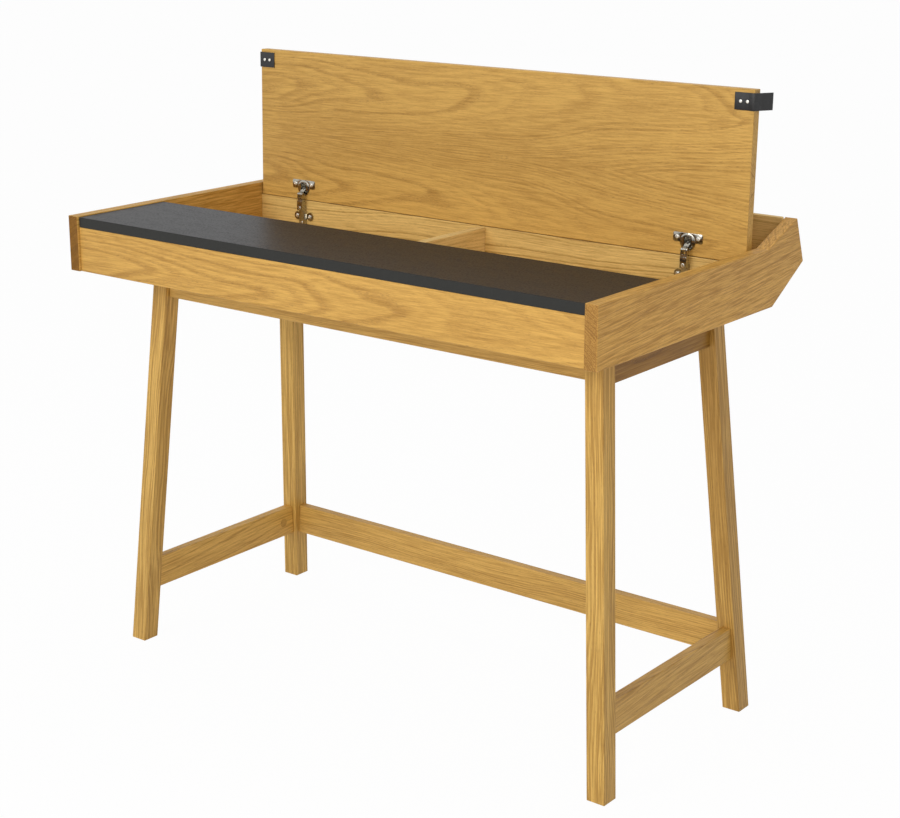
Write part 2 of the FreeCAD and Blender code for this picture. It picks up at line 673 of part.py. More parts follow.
def wall_hardware():
    pins, plate_screws, arm_screws = [], [], []
    for side, sign in SIDES:
        start = f"({hinge_x(sign)} - sheet.nose_width / 2)"
        pins.append(cylinder(f"{side}_arm_pin", "sheet.arm_pin_dia", "sheet.nose_width",
                             "x", start, ARM_PIN_Y, ARM_PIN_Z))
        for hand, step in SIDES:
            z = f"({PLATE_Z} + {step} * sheet.arm_screw_gap / 2)"
            length = "sheet.arm_thick + sheet.arm_screw_proud"
            arm_screws.append(cylinder(f"{side}_{hand}_arm_screw", "sheet.arm_screw_dia", length,
                                       "-y", hinge_x(sign), SADDLE_FACE, z))
    face = f"({WALL_FRONT} - sheet.plate_thick)"
    for spot, x in hinge_spots("sheet.plate_screw_gap"):
        plate_screws.append(wood_screw(f"plate_screw_{spot}", "sheet.plate_thick", "y", "-y",
                                       x, face, PLATE_Z))
    group("arm_pins", pins)
    group("arm_screws", arm_screws)
    group("plate_screws", plate_screws)


def wood_screw(name, skin, inward, outward, x, y, z):
    """Screw through a metal skin, with its domed head outside."""
    shank = cylinder(f"{name}_shank", "sheet.screw_dia", f"sheet.screw_length + {skin}", inward, x, y, z)
    head = cone(f"{name}_head", "sheet.screw_head_dia", "sheet.screw_dia", "sheet.screw_head_height",
                outward, x, y, z)
    return fused(name, [shank, head])


# The link turns on the arm pin, and the cup pin slides in its slot
def hinge_links():
    slot = "(sheet.cup_pin_dia + 2 * sheet.link_play)"
    for side, sign in SIDES:
        body = new_body(f"{side}_hinge_link")
        half = "(sheet.link_height / 2)"
        bar = outline(body, "YZ_Plane", rectangle("0", f"(-{half})", LINK_FAR, half))
        pad(body, bar, "sheet.link_width", both_ways=True)
        ends = circles(body, "YZ_Plane", (("0", "0"),), "sheet.link_height")
        pad(body, ends, "sheet.link_width", both_ways=True)
        ends = circles(body, "YZ_Plane", ((LINK_FAR, "0"),), "sheet.link_height")
        pad(body, ends, "sheet.link_width", both_ways=True)
        bore = circles(body, "YZ_Plane", (("0", "0"),), "(sheet.arm_pin_dia + 2 * sheet.fit_clear)")
        pocket(body, bore, "sheet.link_width", both_ways=True)
        middle = rectangle(LINK_NEAR, f"(-{slot} / 2)", LINK_FAR, f"({slot} / 2)")
        pocket(body, outline(body, "YZ_Plane", middle), "sheet.link_width", both_ways=True)
        for stop in (LINK_NEAR, LINK_FAR):
            tip = circles(body, "YZ_Plane", ((stop, "0"),), slot)
            pocket(body, tip, "sheet.link_width", both_ways=True)
        body.Placement.Rotation = FreeCAD.Rotation(X_AXIS, 1)
        body.setExpression(".Placement.Rotation.Angle", LINK_ANGLE)
        place(body, hinge_x(sign), ARM_PIN_Y, ARM_PIN_Z)
        node(body, f"{side}_hinge_link")


# The cup, its pin and its screws move with the flap
PIN_HALF = ("sqrt(pow(sheet.cup_dia / 2 - sheet.cup_wall / 2; 2)"
            " - pow(sheet.cup_setback - sheet.cup_pin_setback; 2))")


def hinge_cups():
    pins = []
    for side, sign in SIDES:
        body = new_body(f"{side}_cup_blank")
        middle = (("0", CUP_Y),)
        pad(body, circles(body, "XY_Plane", middle, "sheet.cup_dia", UNDER), "sheet.cup_depth")
        low = f"({FLANGE_Y} - sheet.flange_height / 2)"
        high = f"({FLANGE_Y} + sheet.flange_height / 2)"
        corners = rectangle("(-sheet.flange_width / 2)", low, "(sheet.flange_width / 2)", high)
        pad(body, outline(body, "XY_Plane", corners, UNDER), "sheet.flange_thick", reverse=True)
        face = f"({UNDER} - sheet.flange_thick)"
        inside = circles(body, "XY_Plane", middle, "(sheet.cup_dia - 2 * sheet.cup_wall)", face)
        pocket(body, inside, "sheet.cup_depth - sheet.cup_wall + sheet.flange_thick", reverse=True)
        spots = [(f"({step} * sheet.cup_screw_gap / 2)", FLANGE_Y) for _, step in SIDES]
        holes = circles(body, "XY_Plane", spots, "sheet.screw_dia", face)
        pocket(body, holes, "sheet.flange_thick", reverse=True)
        place(body, hinge_x(sign))
        pins.append(cylinder(f"{side}_cup_pin", "sheet.cup_pin_dia", f"2 * {PIN_HALF}", "x",
                             f"({hinge_x(sign)} - {PIN_HALF})", CUP_PIN_Y, CUP_PIN_Z))
        cup = node(drilled(f"{side}_hinge_cup", body, [pins[-1]]), f"{side}_hinge_cup")
        hang_on_flap(cup)
    hang_on_flap(group("cup_pins", pins))
    face = f"({UNDER} - sheet.flange_thick)"
    screws = [wood_screw(f"cup_screw_{spot}", "sheet.flange_thick", "z", "-z", x, FLANGE_Y, face)
              for spot, x in hinge_spots("sheet.cup_screw_gap")]
    hang_on_flap(group("cup_screws", screws))


# Flap and its leather pull tabs
RIVET_Y = f"({TAB_Y} + sheet.tab_width / 2)"


def rivet_spots(sign):
    middle = f"({sign} * ({FLAP_HALF} - sheet.tab_base / 2))"
    return [(f"({middle} + {step} * sheet.rivet_gap / 2)", RIVET_Y) for _, step in SIDES]


def flap():
    body = new_body("flap")
    corners = rectangle(f"(-{FLAP_HALF})", FREE_EDGE, FLAP_HALF, HINGED_EDGE)
    ease(body, pad(body, outline(body, "XY_Plane", corners, UNDER), "sheet.flap_thick"), "sheet.flap_arris")
    cups = [(hinge_x(sign), CUP_Y) for _, sign in SIDES]
    bores = circles(body, "XY_Plane", cups, "(sheet.cup_dia + 2 * sheet.fit_clear)", UNDER)
    pocket(body, bores, "sheet.cup_depth + sheet.fit_clear", reverse=True)
    screws = [(x, FLANGE_Y) for _, x in hinge_spots("sheet.cup_screw_gap")]
    pilots = circles(body, "XY_Plane", screws, "sheet.screw_dia", UNDER)
    pocket(body, pilots, "sheet.screw_length", reverse=True)
    rivets = rivet_spots(-1) + rivet_spots(1)
    pilots = circles(body, "XY_Plane", rivets, "sheet.rivet_shank_dia", UNDER)
    pocket(body, pilots, "sheet.rivet_depth", reverse=True)
    hang_on_flap(node(body, "flap"))


def tab_strip(name, corners, sign=0):
    """Leather strip whose outline is its side view, riveted on the given side."""
    body = new_body(name)
    pad(body, outline(body, "XZ_Plane", corners, f"(-{TAB_Y})"), "sheet.tab_width", reverse=True)
    if sign:
        low = f"({UNDER} - sheet.tab_thick)"
        holes = circles(body, "XY_Plane", rivet_spots(sign), "sheet.rivet_shank_dia", low)
        pocket(body, holes, "sheet.tab_thick", reverse=True)
    return body


def pull_tabs():
    low = f"({UNDER} - sheet.tab_thick)"
    inward = f"({FLAP_HALF} - sheet.tab_base)"
    fold = f"({FLAP_HALF} + sheet.tab_clear)"
    outward = f"({fold} + sheet.tab_thick)"
    tip = f"({low} + sheet.tab_end)"
    folded = (
        (f"(-{inward})", low),
        (f"(-{outward})", low),
        (f"(-{outward})", tip),
        (f"(-{fold})", tip),
        (f"(-{fold})", UNDER),
        (f"(-{inward})", UNDER),
    )
    hang_on_flap(node(tab_strip("left_pull_tab", folded, -1), "left_pull_tab"))
    flat = rectangle(inward, low, FLAP_HALF, UNDER)
    hang_on_flap(node(tab_strip("right_pull_tab", flat, 1), "right_pull_tab"))


def right_tab_end():
    """Free end of the right tab, flared to the rear from its fold."""
    half = "(sheet.tab_thick / 2)"
    fold_x, fold_z = f"({FLAP_HALF} + sheet.tab_clear + {half})", f"({UNDER} - {half})"
    cosine, sine = "cos(sheet.tab_flare)", "sin(sheet.tab_flare)"
    corners = []
    for reach, side in (("0", -1), ("sheet.tab_end", -1), ("sheet.tab_end", 1), ("0", 1)):
        x = f"({fold_x} + {reach} * {cosine} - {side} * {half} * {sine})"
        z = f"({fold_z} + {reach} * {sine} + {side} * {half} * {cosine})"
        corners.append((x, z))
    body = tab_strip("right_tab_end", corners)
    bead = circles(body, "XZ_Plane", ((fold_x, fold_z),), "sheet.tab_thick", f"(-{TAB_Y})")
    pad(body, bead, "sheet.tab_width", reverse=True)
    hang_on_flap(node(body, "right_tab_end"))


def tab_rivets():
    low = f"({UNDER} - sheet.tab_thick)"
    rivets = []
    for side, sign in SIDES:
        for (hand, _), (x, y) in zip(SIDES, rivet_spots(sign)):
            name = f"{side}_{hand}_rivet"
            shank = cylinder(f"{name}_shank", "sheet.rivet_shank_dia", "sheet.rivet_depth + sheet.tab_thick",
                             "z", x, y, low)
            head = cone(f"{name}_head", "sheet.rivet_dia", "sheet.rivet_shank_dia", "sheet.rivet_height",
                        "-z", x, y, low)
            rivets.append(fused(name, [shank, head]))
    hang_on_flap(group("tab_rivets", rivets))


side_panels()
box_boards()
batten()
divider()
hinge_wall()
rear_boards()
legs()
rails()
stretchers()
hinge_plates()
for hinge_side, hinge_sign in SIDES:
    hinge_arm(hinge_side, hinge_sign)
wall_hardware()
hinge_links()
hinge_cups()
flap()
pull_tabs()
right_tab_end()
tab_rivets()
doc.recompute()

for item in doc.Objects:
    if "Invalid" in item.State or "Error" in item.State:
        raise ValueError(f"{item.Label} did not compute: {item.State}")
os.makedirs("parts", exist_ok=True)
for name, solids in SOLIDS_IN.items():
    item = doc.getObject(name)
    shape = item.Shape
    if shape.isNull() or not shape.isValid() or len(shape.Solids) != solids:
        raise ValueError(f"{item.Label} has a bad shape")
    shape.exportStep(f"parts/{item.Label}.step")
print(len(SOLIDS_IN), "sub-parts written")
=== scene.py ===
"""Dress the flap desk: oak boards, dark strip, cup hinges, leather pull tabs and a plain studio."""
import json
import math

import bpy
from bpy.props import FloatProperty, FloatVectorProperty, PointerProperty
from bpy.types import Operator, Panel, PropertyGroup
from mathutils import Euler, Matrix, Vector


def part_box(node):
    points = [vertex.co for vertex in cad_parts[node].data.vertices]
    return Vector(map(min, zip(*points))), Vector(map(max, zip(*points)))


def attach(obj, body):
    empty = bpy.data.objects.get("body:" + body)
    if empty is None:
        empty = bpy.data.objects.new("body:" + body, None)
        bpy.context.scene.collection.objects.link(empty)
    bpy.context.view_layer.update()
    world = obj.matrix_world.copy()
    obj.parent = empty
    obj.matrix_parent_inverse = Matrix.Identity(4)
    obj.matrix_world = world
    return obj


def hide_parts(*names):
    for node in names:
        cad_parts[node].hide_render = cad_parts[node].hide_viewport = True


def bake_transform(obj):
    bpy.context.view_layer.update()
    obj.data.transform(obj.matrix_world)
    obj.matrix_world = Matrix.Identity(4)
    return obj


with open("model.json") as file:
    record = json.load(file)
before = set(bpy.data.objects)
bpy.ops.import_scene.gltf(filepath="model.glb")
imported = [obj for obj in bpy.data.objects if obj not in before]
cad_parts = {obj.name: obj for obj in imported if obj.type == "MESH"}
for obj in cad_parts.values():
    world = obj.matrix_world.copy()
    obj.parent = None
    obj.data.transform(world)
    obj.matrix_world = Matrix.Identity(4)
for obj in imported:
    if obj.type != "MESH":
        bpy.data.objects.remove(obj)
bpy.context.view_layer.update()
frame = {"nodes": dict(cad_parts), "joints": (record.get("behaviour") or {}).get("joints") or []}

bl_info = {
    "name": "Flap Desk Dresser",
    "version": (1, 0, 0),
    "blender": (4, 5, 0),
    "location": "View3D > Sidebar > Flap Desk",
    "description": "Gives the packed flap desk its finishes, hinges, pull tabs and studio",
    "category": "Object",
}

SIDES = (("left", -1), ("right", 1))
JOINTS = {joint["name"]: joint for joint in frame["joints"]}
# The flap's turn from shut to open, and its own directions when it stands open
FOLD_AXIS = Vector(JOINTS["right_tab_fold"]["axis"])
TURN = math.radians(90) + math.atan2(FOLD_AXIS.y, FOLD_AXIS.z)
FLAP_UP = Vector((0, -math.cos(TURN), math.sin(TURN)))
FLAP_BACK = Vector((0, math.sin(TURN), math.cos(TURN)))
# Ends of the plate on a hinge link, from the link's pivot, and its narrow end's share of its width
LINK_FROM = Vector((0, 0.0019, 0.0035))
LINK_TO = Vector((0, 0.0107, 0.0110))
LINK_TAPER = 0.78
# Twist of a wood screw's cross, in radians, and how far a pair differs from it to each side
SCREW_TWIST = 0.3
SCREW_TWIST_STEP = 0.5
# Distance between the places along a pull tab's base, and the steps of its other stretches
TAB_STEP = 0.003
LIFT_STEPS = 6
ROLL_STEPS = 12
FOLD_STEPS = 9
FREE_STEPS = 10
# Rounding of the edges of the small pieces
EDGES = {"bead": 0.0003, "wing": 0.0004, "arm": 0.0007, "flange": 0.00035, "cup": 0.0003, "link": 0.00025,
         "set_screw": 0.0003, "rivet": 0.0007}
# Width, depth and length of the groove in an arm's tail and of a slit in a set screw
GROOVE = (0.0046, 0.0012, 0.006)
SLIT = (0.0008, 0.001, 0.0038)
# Sides of the round hinge cups
CUP_SIDES = 56
# Faces that meet at less than this angle, in degrees, are shaded as one curve
SMOOTH_ANGLE = 35.0
# Tint of a board that keeps the oak's own colours
PLAIN = (1.0, 1.0, 1.0)


def middle(node):
    """Middle of a CAD node's box."""
    low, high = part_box(node)
    return (low + high) / 2


def length(name, default, description):
    """Size in metres that a user may change."""
    return FloatProperty(name=name, description=description, default=default, unit="LENGTH", precision=5)


def colour(name, default, description):
    """Colour that a user may change."""
    return FloatVectorProperty(name=name, description=description, default=default, subtype="COLOR",
                               min=0, max=1)


class FlapDeskSizes(PropertyGroup):
    """Sizes of the pieces that are modelled over the plain solids."""

    bead_rise: length("Bead Rise", 0.0017, "Bead above the hinge wall's top")
    bead_depth: length("Bead Depth", 0.0015, "Bead behind the hinge wall's face")
    bead_foot: length("Bead Foot", 0.0016, "Bead below the hinge wall's top, over its rounded edge")
    bead_proud: length("Bead Proud", 0.00005, "Bead in front of the hinge wall's face")
    wing_radius: length("Wing Radius", 0.007, "Radius of the wing plate's round ends")
    wing_gap: length("Wing Gap", 0.028, "Distance between the wing plate's screws")
    wing_thick: length("Wing Thickness", 0.002, "Thickness of the wing plate")
    saddle_width: length("Saddle Width", 0.010, "Width of the block that carries the arm on the wing plate")
    arm_step: length("Arm Step", 0.0012, "Height of the step along the hinge arm")
    arm_head: length("Arm Head", 0.0109, "Step of the hinge arm below the arm pin")
    arm_nose: length("Arm Nose", 0.006, "Foot of the arm's nose below the head of its step")
    arm_waist: length("Arm Waist", 0.0112, "Foot of the arm's proud part above the wing plate's screws")
    arm_tail: length("Arm Tail", 0.0015, "Thickness of the arm's low tail")
    fork_depth: length("Fork Depth", 0.0068, "Fork of the arm's nose below the arm pin")
    fork_play: length("Fork Play", 0.0008, "Room beside the link in the fork, both sides together")
    cup_radius: length("Cup Radius", 0.013, "Outer radius of the hinge cup")
    cup_wall: length("Cup Wall", 0.0008, "Wall of the hinge cup")
    cup_depth: length("Cup Depth", 0.0122, "Depth of the hinge cup in the flap")
    cup_offset: length("Cup Offset", 0.0055, "Cup's middle past the cup pin")
    cup_pin_depth: length("Cup Pin Depth", 0.002, "Cup pin behind the flap's face")
    cup_rim: length("Cup Rim", 0.0003, "Cup's lid in front of its flange")
    slot_width: length("Slot Width", 0.012, "Width of the slot in the cup's lid for the arm's nose")
    slot_up: length("Slot Top", 0.0084, "Slot's end past the cup's middle, away from the hinge wall")
    slot_down: length("Slot Foot", 0.0114, "Slot's other end, towards the hinge wall")
    slot_corner: length("Slot Corner", 0.0012, "Rounding of the slot's corners")
    cheek_clearance: length("Cheek Clearance", 0.0001, "Gap between a cup and the cheeks inside it")
    link_width: length("Link Width", 0.0098, "Width of the plate on a hinge link at its wide end")
    link_thick: length("Link Thickness", 0.001, "Thickness of the plate on a hinge link")
    link_eye: length("Link Eye", 0.0014, "Radius of the eye in the plate on a hinge link")
    flange_offset: length("Flange Offset", 0.006, "Flange's middle past the cup's middle")
    flange_width: length("Flange Width", 0.050, "Width of the cup's flange")
    flange_height: length("Flange Height", 0.0145, "Height of the cup's flange")
    flange_gap: length("Flange Gap", 0.036, "Distance between the flange's screws")
    flange_thick: length("Flange Thickness", 0.0012, "Thickness of the cup's flange")
    flange_corner: length("Flange Corner", 0.0029, "Rounding of the flange's corners")
    screw_radius: length("Screw Radius", 0.00325, "Radius of a wood screw's head")
    screw_height: length("Screw Height", 0.0018, "Height of a wood screw's head")
    screw_length: length("Screw Length", 0.010, "Length of a wood screw's shank")
    set_gap: length("Set Screw Gap", 0.020, "Distance between an arm's two plain set screws")
    set_upper: length("Upper Set Screw", 0.0045, "Upper set screw above the foot of the arm's proud part")
    set_lower: length("Lower Set Screw", 0.0105, "Lower set screw below the wing plate's screws")
    set_rise: length("Set Screw Rise", 0.0006, "Lower set screw in front of the arm's tail")
    tab_width: length("Tab Width", 0.025, "Width of a leather pull tab")
    tab_thick: length("Tab Thickness", 0.0016, "Thickness of the leather")
    tab_free: length("Tab Free End", 0.0315, "Straight free length of a pull tab")
    tab_lift: length("Tab Lift", 0.0095, "Start of the right tab's lift before the end of its base")
    tab_crest: length("Tab Crest", 0.0015, "Crest of the right tab's lift before the end of its base")
    rivet_gap: length("Rivet Gap", 0.011, "Distance between a pull tab's rivets")
    rivet_radius: length("Rivet Radius", 0.0025, "Radius of a rivet's head")
    rivet_height: length("Rivet Height", 0.0012, "Height of a rivet's head")
    rivet_shank: length("Rivet Shank", 0.00125, "Radius of a rivet's shank")
    rivet_length: length("Rivet Length", 0.0072, "Length of a rivet's shank")
    leg_section: length("Leg Section", 0.03, "Thickness of a leg")
    flap_seam: length("Flap Seam", 0.012, "Seam of the flap's matched veneer below its middle")
    growth_ring: length("Growth Ring", 0.0062, "Width of one growth ring in the oak")


class FlapDeskColours(PropertyGroup):
    """Colours of the finishes."""

    oak_pale: colour("Pale Oak", (0.68, 0.395, 0.092), "Late wood between the pores")
    oak_deep: colour("Deep Oak", (0.40, 0.205, 0.036), "Early wood in the growth rings")
    oak_pore: colour("Oak Pores", (0.21, 0.095, 0.016), "Open pores along the grain")
    oak_end: colour("End Grain", (0.40, 0.32, 0.20), "How far end grain darkens the oak")
    strip_top: colour("Desktop Strip", (0.0042, 0.0044, 0.0054), "Matt dark surface of the desktop strip")
    strip_fleck: colour("Strip Fleck", (0.022, 0.0215, 0.0225), "Pale flecks in the desktop strip")
    strip_edge: colour("Strip Edge", (0.039, 0.0395, 0.037), "Edge band of the desktop strip")
    leather: colour("Leather", (0.006, 0.0062, 0.007), "Black leather of the pull tabs")
    leather_worn: colour("Worn Leather", (0.02, 0.02, 0.022), "Raised grain of the leather")
    nickel: colour("Nickel", (0.42, 0.40, 0.35), "Nickel plate on the hinges")
    nickel_dull: colour("Dull Nickel", (0.22, 0.20, 0.165), "Nickel where it has dulled")
    # The screw colour is partly real bright plate and partly painted highlight: it is paler than the nickel
    # so that screw heads and rivets show as light dots
    screw: colour("Screws", (0.80, 0.78, 0.72), "Bright plate on the screws and rivets")
    floor: colour("Floor", (0.9, 0.9, 0.9), "Plain floor")


# Shader helpers
def fill(tree, node, inputs):
    """Set a node's inputs to values, or link them to other nodes."""
    for name, value in inputs.items():
        if isinstance(value, bpy.types.NodeSocket):
            tree.links.new(value, node.inputs[name])
        else:
            node.inputs[name].default_value = value


def add_node(tree, kind, inputs=None, **settings):
    """Add a node, set its options and fill its inputs."""
    node = tree.nodes.new(kind)
    for name, value in settings.items():
        setattr(node, name, value)
    fill(tree, node, inputs or {})
    return node


def maths(tree, operation, first, second=0.0, clamp=False):
    """Result of one sum on two numbers."""
    node = add_node(tree, "ShaderNodeMath", {0: first, 1: second}, operation=operation, use_clamp=clamp)
    return node.outputs[0]


def vector_maths(tree, operation, first, second):
    """Node for one sum on two vectors."""
    return add_node(tree, "ShaderNodeVectorMath", {0: first, 1: second}, operation=operation)


def noise(tree, vector, stretch, detail=2.0, roughness=0.5):
    """Noise whose scale along X, Y and Z is in cycles per metre."""
    scaled = vector_maths(tree, "MULTIPLY", vector, stretch).outputs[0]
    inputs = {"Vector": scaled, "Scale": 1.0, "Detail": detail, "Roughness": roughness}
    return add_node(tree, "ShaderNodeTexNoise", inputs)


def ramp_value(tree, value, low, high, to_low=0.0, to_high=1.0):
    """Number that goes softly from to_low to to_high while value goes from low to high."""
    inputs = {"Value": value, "From Min": low, "From Max": high, "To Min": to_low, "To Max": to_high}
    node = add_node(tree, "ShaderNodeMapRange", inputs, interpolation_type="SMOOTHSTEP")
    return node.outputs["Result"]


def mix_colour(tree, factor, first, second, blend="MIX"):
    """Mix of two colours."""
    inputs = {0: factor, 6: first, 7: second}
    return add_node(tree, "ShaderNodeMix", inputs, data_type="RGBA", blend_type=blend).outputs[2]


def new_group(name, inputs, outputs):
    """Empty shader group with its named sockets. Returns the tree, its entry and its exit."""
    tree = bpy.data.node_groups.new(name, "ShaderNodeTree")
    for in_out, sockets in (("INPUT", inputs), ("OUTPUT", outputs)):
        for label, kind in sockets:
            tree.interface.new_socket(name=label, in_out=in_out, socket_type=f"NodeSocket{kind}")
    return tree, tree.nodes.new("NodeGroupInput"), tree.nodes.new("NodeGroupOutput")


def placed_group(tree, name, inputs):
    """Put a shared shader group in a material, with its own values. Returns its outputs."""
    return add_node(tree, "ShaderNodeGroup", inputs, node_tree=bpy.data.node_groups[name]).outputs


def rgba(value):
    """Opaque colour."""
    return (*value, 1.0)


def swayed(tree, vector, stretch, reach):
    """Move a vector's Y and Z by slow noise, up to reach metres."""
    drift = noise(tree, vector, stretch, 2.0).outputs["Color"]
    drift = vector_maths(tree, "SUBTRACT", drift, (0.5, 0.5, 0.5)).outputs[0]
    drift = vector_maths(tree, "MULTIPLY", drift, (0.0, 2 * reach, 2 * reach)).outputs[0]
    return vector_maths(tree, "ADD", vector, drift).outputs[0]


def oak_group():
    """Oak about a heart line on the X axis, in metres: rings, strokes, fibres, pores and end grain."""
    values = [(label, "Float") for label in ("Ring Width", "Ring Contrast", "Streaks", "End Grain")]
    tones = [(label, "Color") for label in ("Pale", "Deep", "Pore", "End Tone")]
    tree, entry, leave = new_group(
        "oak_figure",
        (("Vector", "Vector"), *values, *tones),
        (("Color", "Color"), ("Roughness", "Float"), ("Height", "Float")),
    )
    given = entry.outputs
    place = given["Vector"]

    # Growth rings of uneven width, each with its own strength
    bent = swayed(tree, swayed(tree, place, (1.5, 6.0, 6.0), 0.03), (6.0, 38.0, 38.0), 0.0026)
    across = vector_maths(tree, "MULTIPLY", bent, (0.0, 1.0, 1.0)).outputs[0]
    radius = add_node(tree, "ShaderNodeVectorMath", {0: across}, operation="LENGTH").outputs["Value"]
    waver = {"W": radius, "Scale": 40.0, "Detail": 1.0}
    seasons = add_node(tree, "ShaderNodeTexNoise", waver, noise_dimensions="1D").outputs["Fac"]
    count = maths(tree, "DIVIDE", radius, given["Ring Width"])
    count = maths(tree, "ADD", count, maths(tree, "MULTIPLY", seasons, 3.0))
    phase = maths(tree, "FRACT", count)
    year = {"W": maths(tree, "FLOOR", count)}
    growth = add_node(tree, "ShaderNodeTexWhiteNoise", year, noise_dimensions="1D").outputs["Value"]
    rise = ramp_value(tree, phase, 0.0, 0.28)
    fade = ramp_value(tree, phase, 0.24, 1.0, 1.0, 0.0)
    early = maths(tree, "MULTIPLY", rise, fade)
    early = maths(tree, "MULTIPLY", early, ramp_value(tree, growth, 0.0, 1.0, 0.2, 1.0))

    # Broad tone, strokes, fibres and open pores along the grain
    tone = noise(tree, place, (1.4, 13.0, 13.0), 3.0, 0.55).outputs["Fac"]
    stroke = noise(tree, bent, (3.6, 235.0, 235.0), 3.0, 0.65).outputs["Fac"]
    fibre = noise(tree, place, (11.0, 540.0, 540.0), 2.0, 0.6).outputs["Fac"]
    vessel = noise(tree, place, (110.0, 2100.0, 2100.0), 1.0, 0.5).outputs["Fac"]
    pore = ramp_value(tree, vessel, 0.56, 0.68)
    pore = maths(tree, "MULTIPLY", pore, ramp_value(tree, early, 0.0, 0.7, 0.3, 1.0))

    # From the pale to the deep tone, and then the pores and the end grain
    broad = ramp_value(tree, stroke, 0.4, 0.74, 0.0, 0.5)
    streak = maths(tree, "ADD", broad, ramp_value(tree, fibre, 0.3, 0.7, -0.2, 0.4))
    sawn = maths(tree, "ADD", maths(tree, "MULTIPLY", given["End Grain"], 2.2), 1.0)
    shade = maths(tree, "MULTIPLY", early, maths(tree, "MULTIPLY", given["Ring Contrast"], sawn))
    shade = maths(tree, "ADD", shade, ramp_value(tree, tone, 0.25, 0.75, -0.04, 0.3))
    shade = maths(tree, "ADD", shade, maths(tree, "MULTIPLY", streak, given["Streaks"]), True)
    body = mix_colour(tree, shade, given["Pale"], given["Deep"])
    body = mix_colour(tree, maths(tree, "MULTIPLY", pore, 0.6), body, given["Pore"])
    body = mix_colour(tree, given["End Grain"], body, given["End Tone"], "MULTIPLY")
    sheen = ramp_value(tree, fibre, 0.2, 0.8, 0.44, 0.58)
    height = maths(tree, "SUBTRACT", maths(tree, "MULTIPLY", fibre, 0.5), pore)
    fill(tree, leave, {"Color": body, "Roughness": sheen, "Height": height})


def grain_group():
    """Pebbled grain of leather and dull plate: a mask, and its height."""
    tree, entry, leave = new_group(
        "pebble_grain",
        (("Vector", "Vector"), ("Cells", "Float")),
        (("Mask", "Float"), ("Height", "Float")),
    )
    place = entry.outputs["Vector"]
    inputs = {"Vector": place, "Scale": entry.outputs["Cells"]}
    cells = add_node(tree, "ShaderNodeTexVoronoi", inputs, feature="F1").outputs["Distance"]
    cloud = noise(tree, place, (120.0, 120.0, 120.0), 4.0, 0.6).outputs["Fac"]
    bumps = ramp_value(tree, cells, 0.1, 0.75, 1.0, 0.0)
    mask = maths(tree, "MULTIPLY", bumps, ramp_value(tree, cloud, 0.35, 0.7))
    fill(tree, leave, {"Mask": mask, "Height": maths(tree, "ADD", bumps, cloud)})


def new_material(name):
    """Material with only its surface shader. Returns its tree and the shader."""
    material = bpy.data.materials.new(name)
    material.use_nodes = True
    tree = material.node_tree
    return tree, next(node for node in tree.nodes if node.type == "BSDF_PRINCIPLED")


def bump(tree, shader, height, depth, strength=1.0):
    """Relief of the surface, from a height and its depth in metres."""
    node = add_node(tree, "ShaderNodeBump", {"Height": height, "Strength": strength, "Distance": depth})
    fill(tree, shader, {"Normal": node.outputs["Normal"]})


def grain_turn(direction):
    """Turn that lays a direction of the desk along the X axis of the oak figure."""
    turn_x = math.atan2(direction.y, direction.z)
    turn_y = math.atan2(math.hypot(direction.y, direction.z), direction.x)
    return Euler((turn_x, turn_y, 0.0), "XYZ")


def mirrored(tree, place, seam):
    """Fold a place about the level of a seam, as two matched veneer leaves do."""
    split = add_node(tree, "ShaderNodeSeparateXYZ", {0: place}).outputs
    level = maths(tree, "ABSOLUTE", maths(tree, "SUBTRACT", split["Z"], seam))
    return add_node(tree, "ShaderNodeCombineXYZ", {"X": split["X"], "Y": split["Y"], "Z": level}).outputs[0]


def oak_material(name, direction, heart, rings=0.5, contrast=0.5, streaks=0.9, end_shade=0.4, tint=PLAIN,
                 seam=None, gloss=0.35):
    """Lacquered oak with its grain along direction and its heart on a line through a place."""
    scene = bpy.context.scene
    colours = scene.flap_desk_colours
    tree, shader = new_material(name)
    along = Vector(direction).normalized()
    turn = grain_turn(along)
    place = add_node(tree, "ShaderNodeTexCoord").outputs
    spot = place["Object"] if seam is None else mirrored(tree, place["Object"], seam)
    inputs = {"Vector": spot, "Rotation": turn, "Location": -(turn.to_matrix() @ Vector(heart))}
    mapped = add_node(tree, "ShaderNodeMapping", inputs).outputs["Vector"]
    slope = vector_maths(tree, "DOT_PRODUCT", place["Normal"], along).outputs["Value"]
    end_grain = ramp_value(tree, maths(tree, "ABSOLUTE", slope), 0.7, 0.95, 0.0, end_shade)
    inputs = {"Vector": mapped, "Ring Width": rings * scene.flap_desk_sizes.growth_ring,
              "Ring Contrast": contrast, "Streaks": streaks, "End Grain": end_grain,
              "End Tone": rgba(colours.oak_end)}
    tones = {"Pale": colours.oak_pale, "Deep": colours.oak_deep, "Pore": colours.oak_pore}
    for socket, tone in tones.items():
        inputs[socket] = rgba([a * b for a, b in zip(tone, tint)])
    oak = placed_group(tree, "oak_figure", inputs)
    fill(tree, shader, {"Base Color": oak["Color"], "Roughness": oak["Roughness"],
                        "Specular IOR Level": gloss, "Coat Weight": 0.05, "Coat Roughness": 0.35})
    bump(tree, shader, oak["Height"], 0.00012, 0.6)


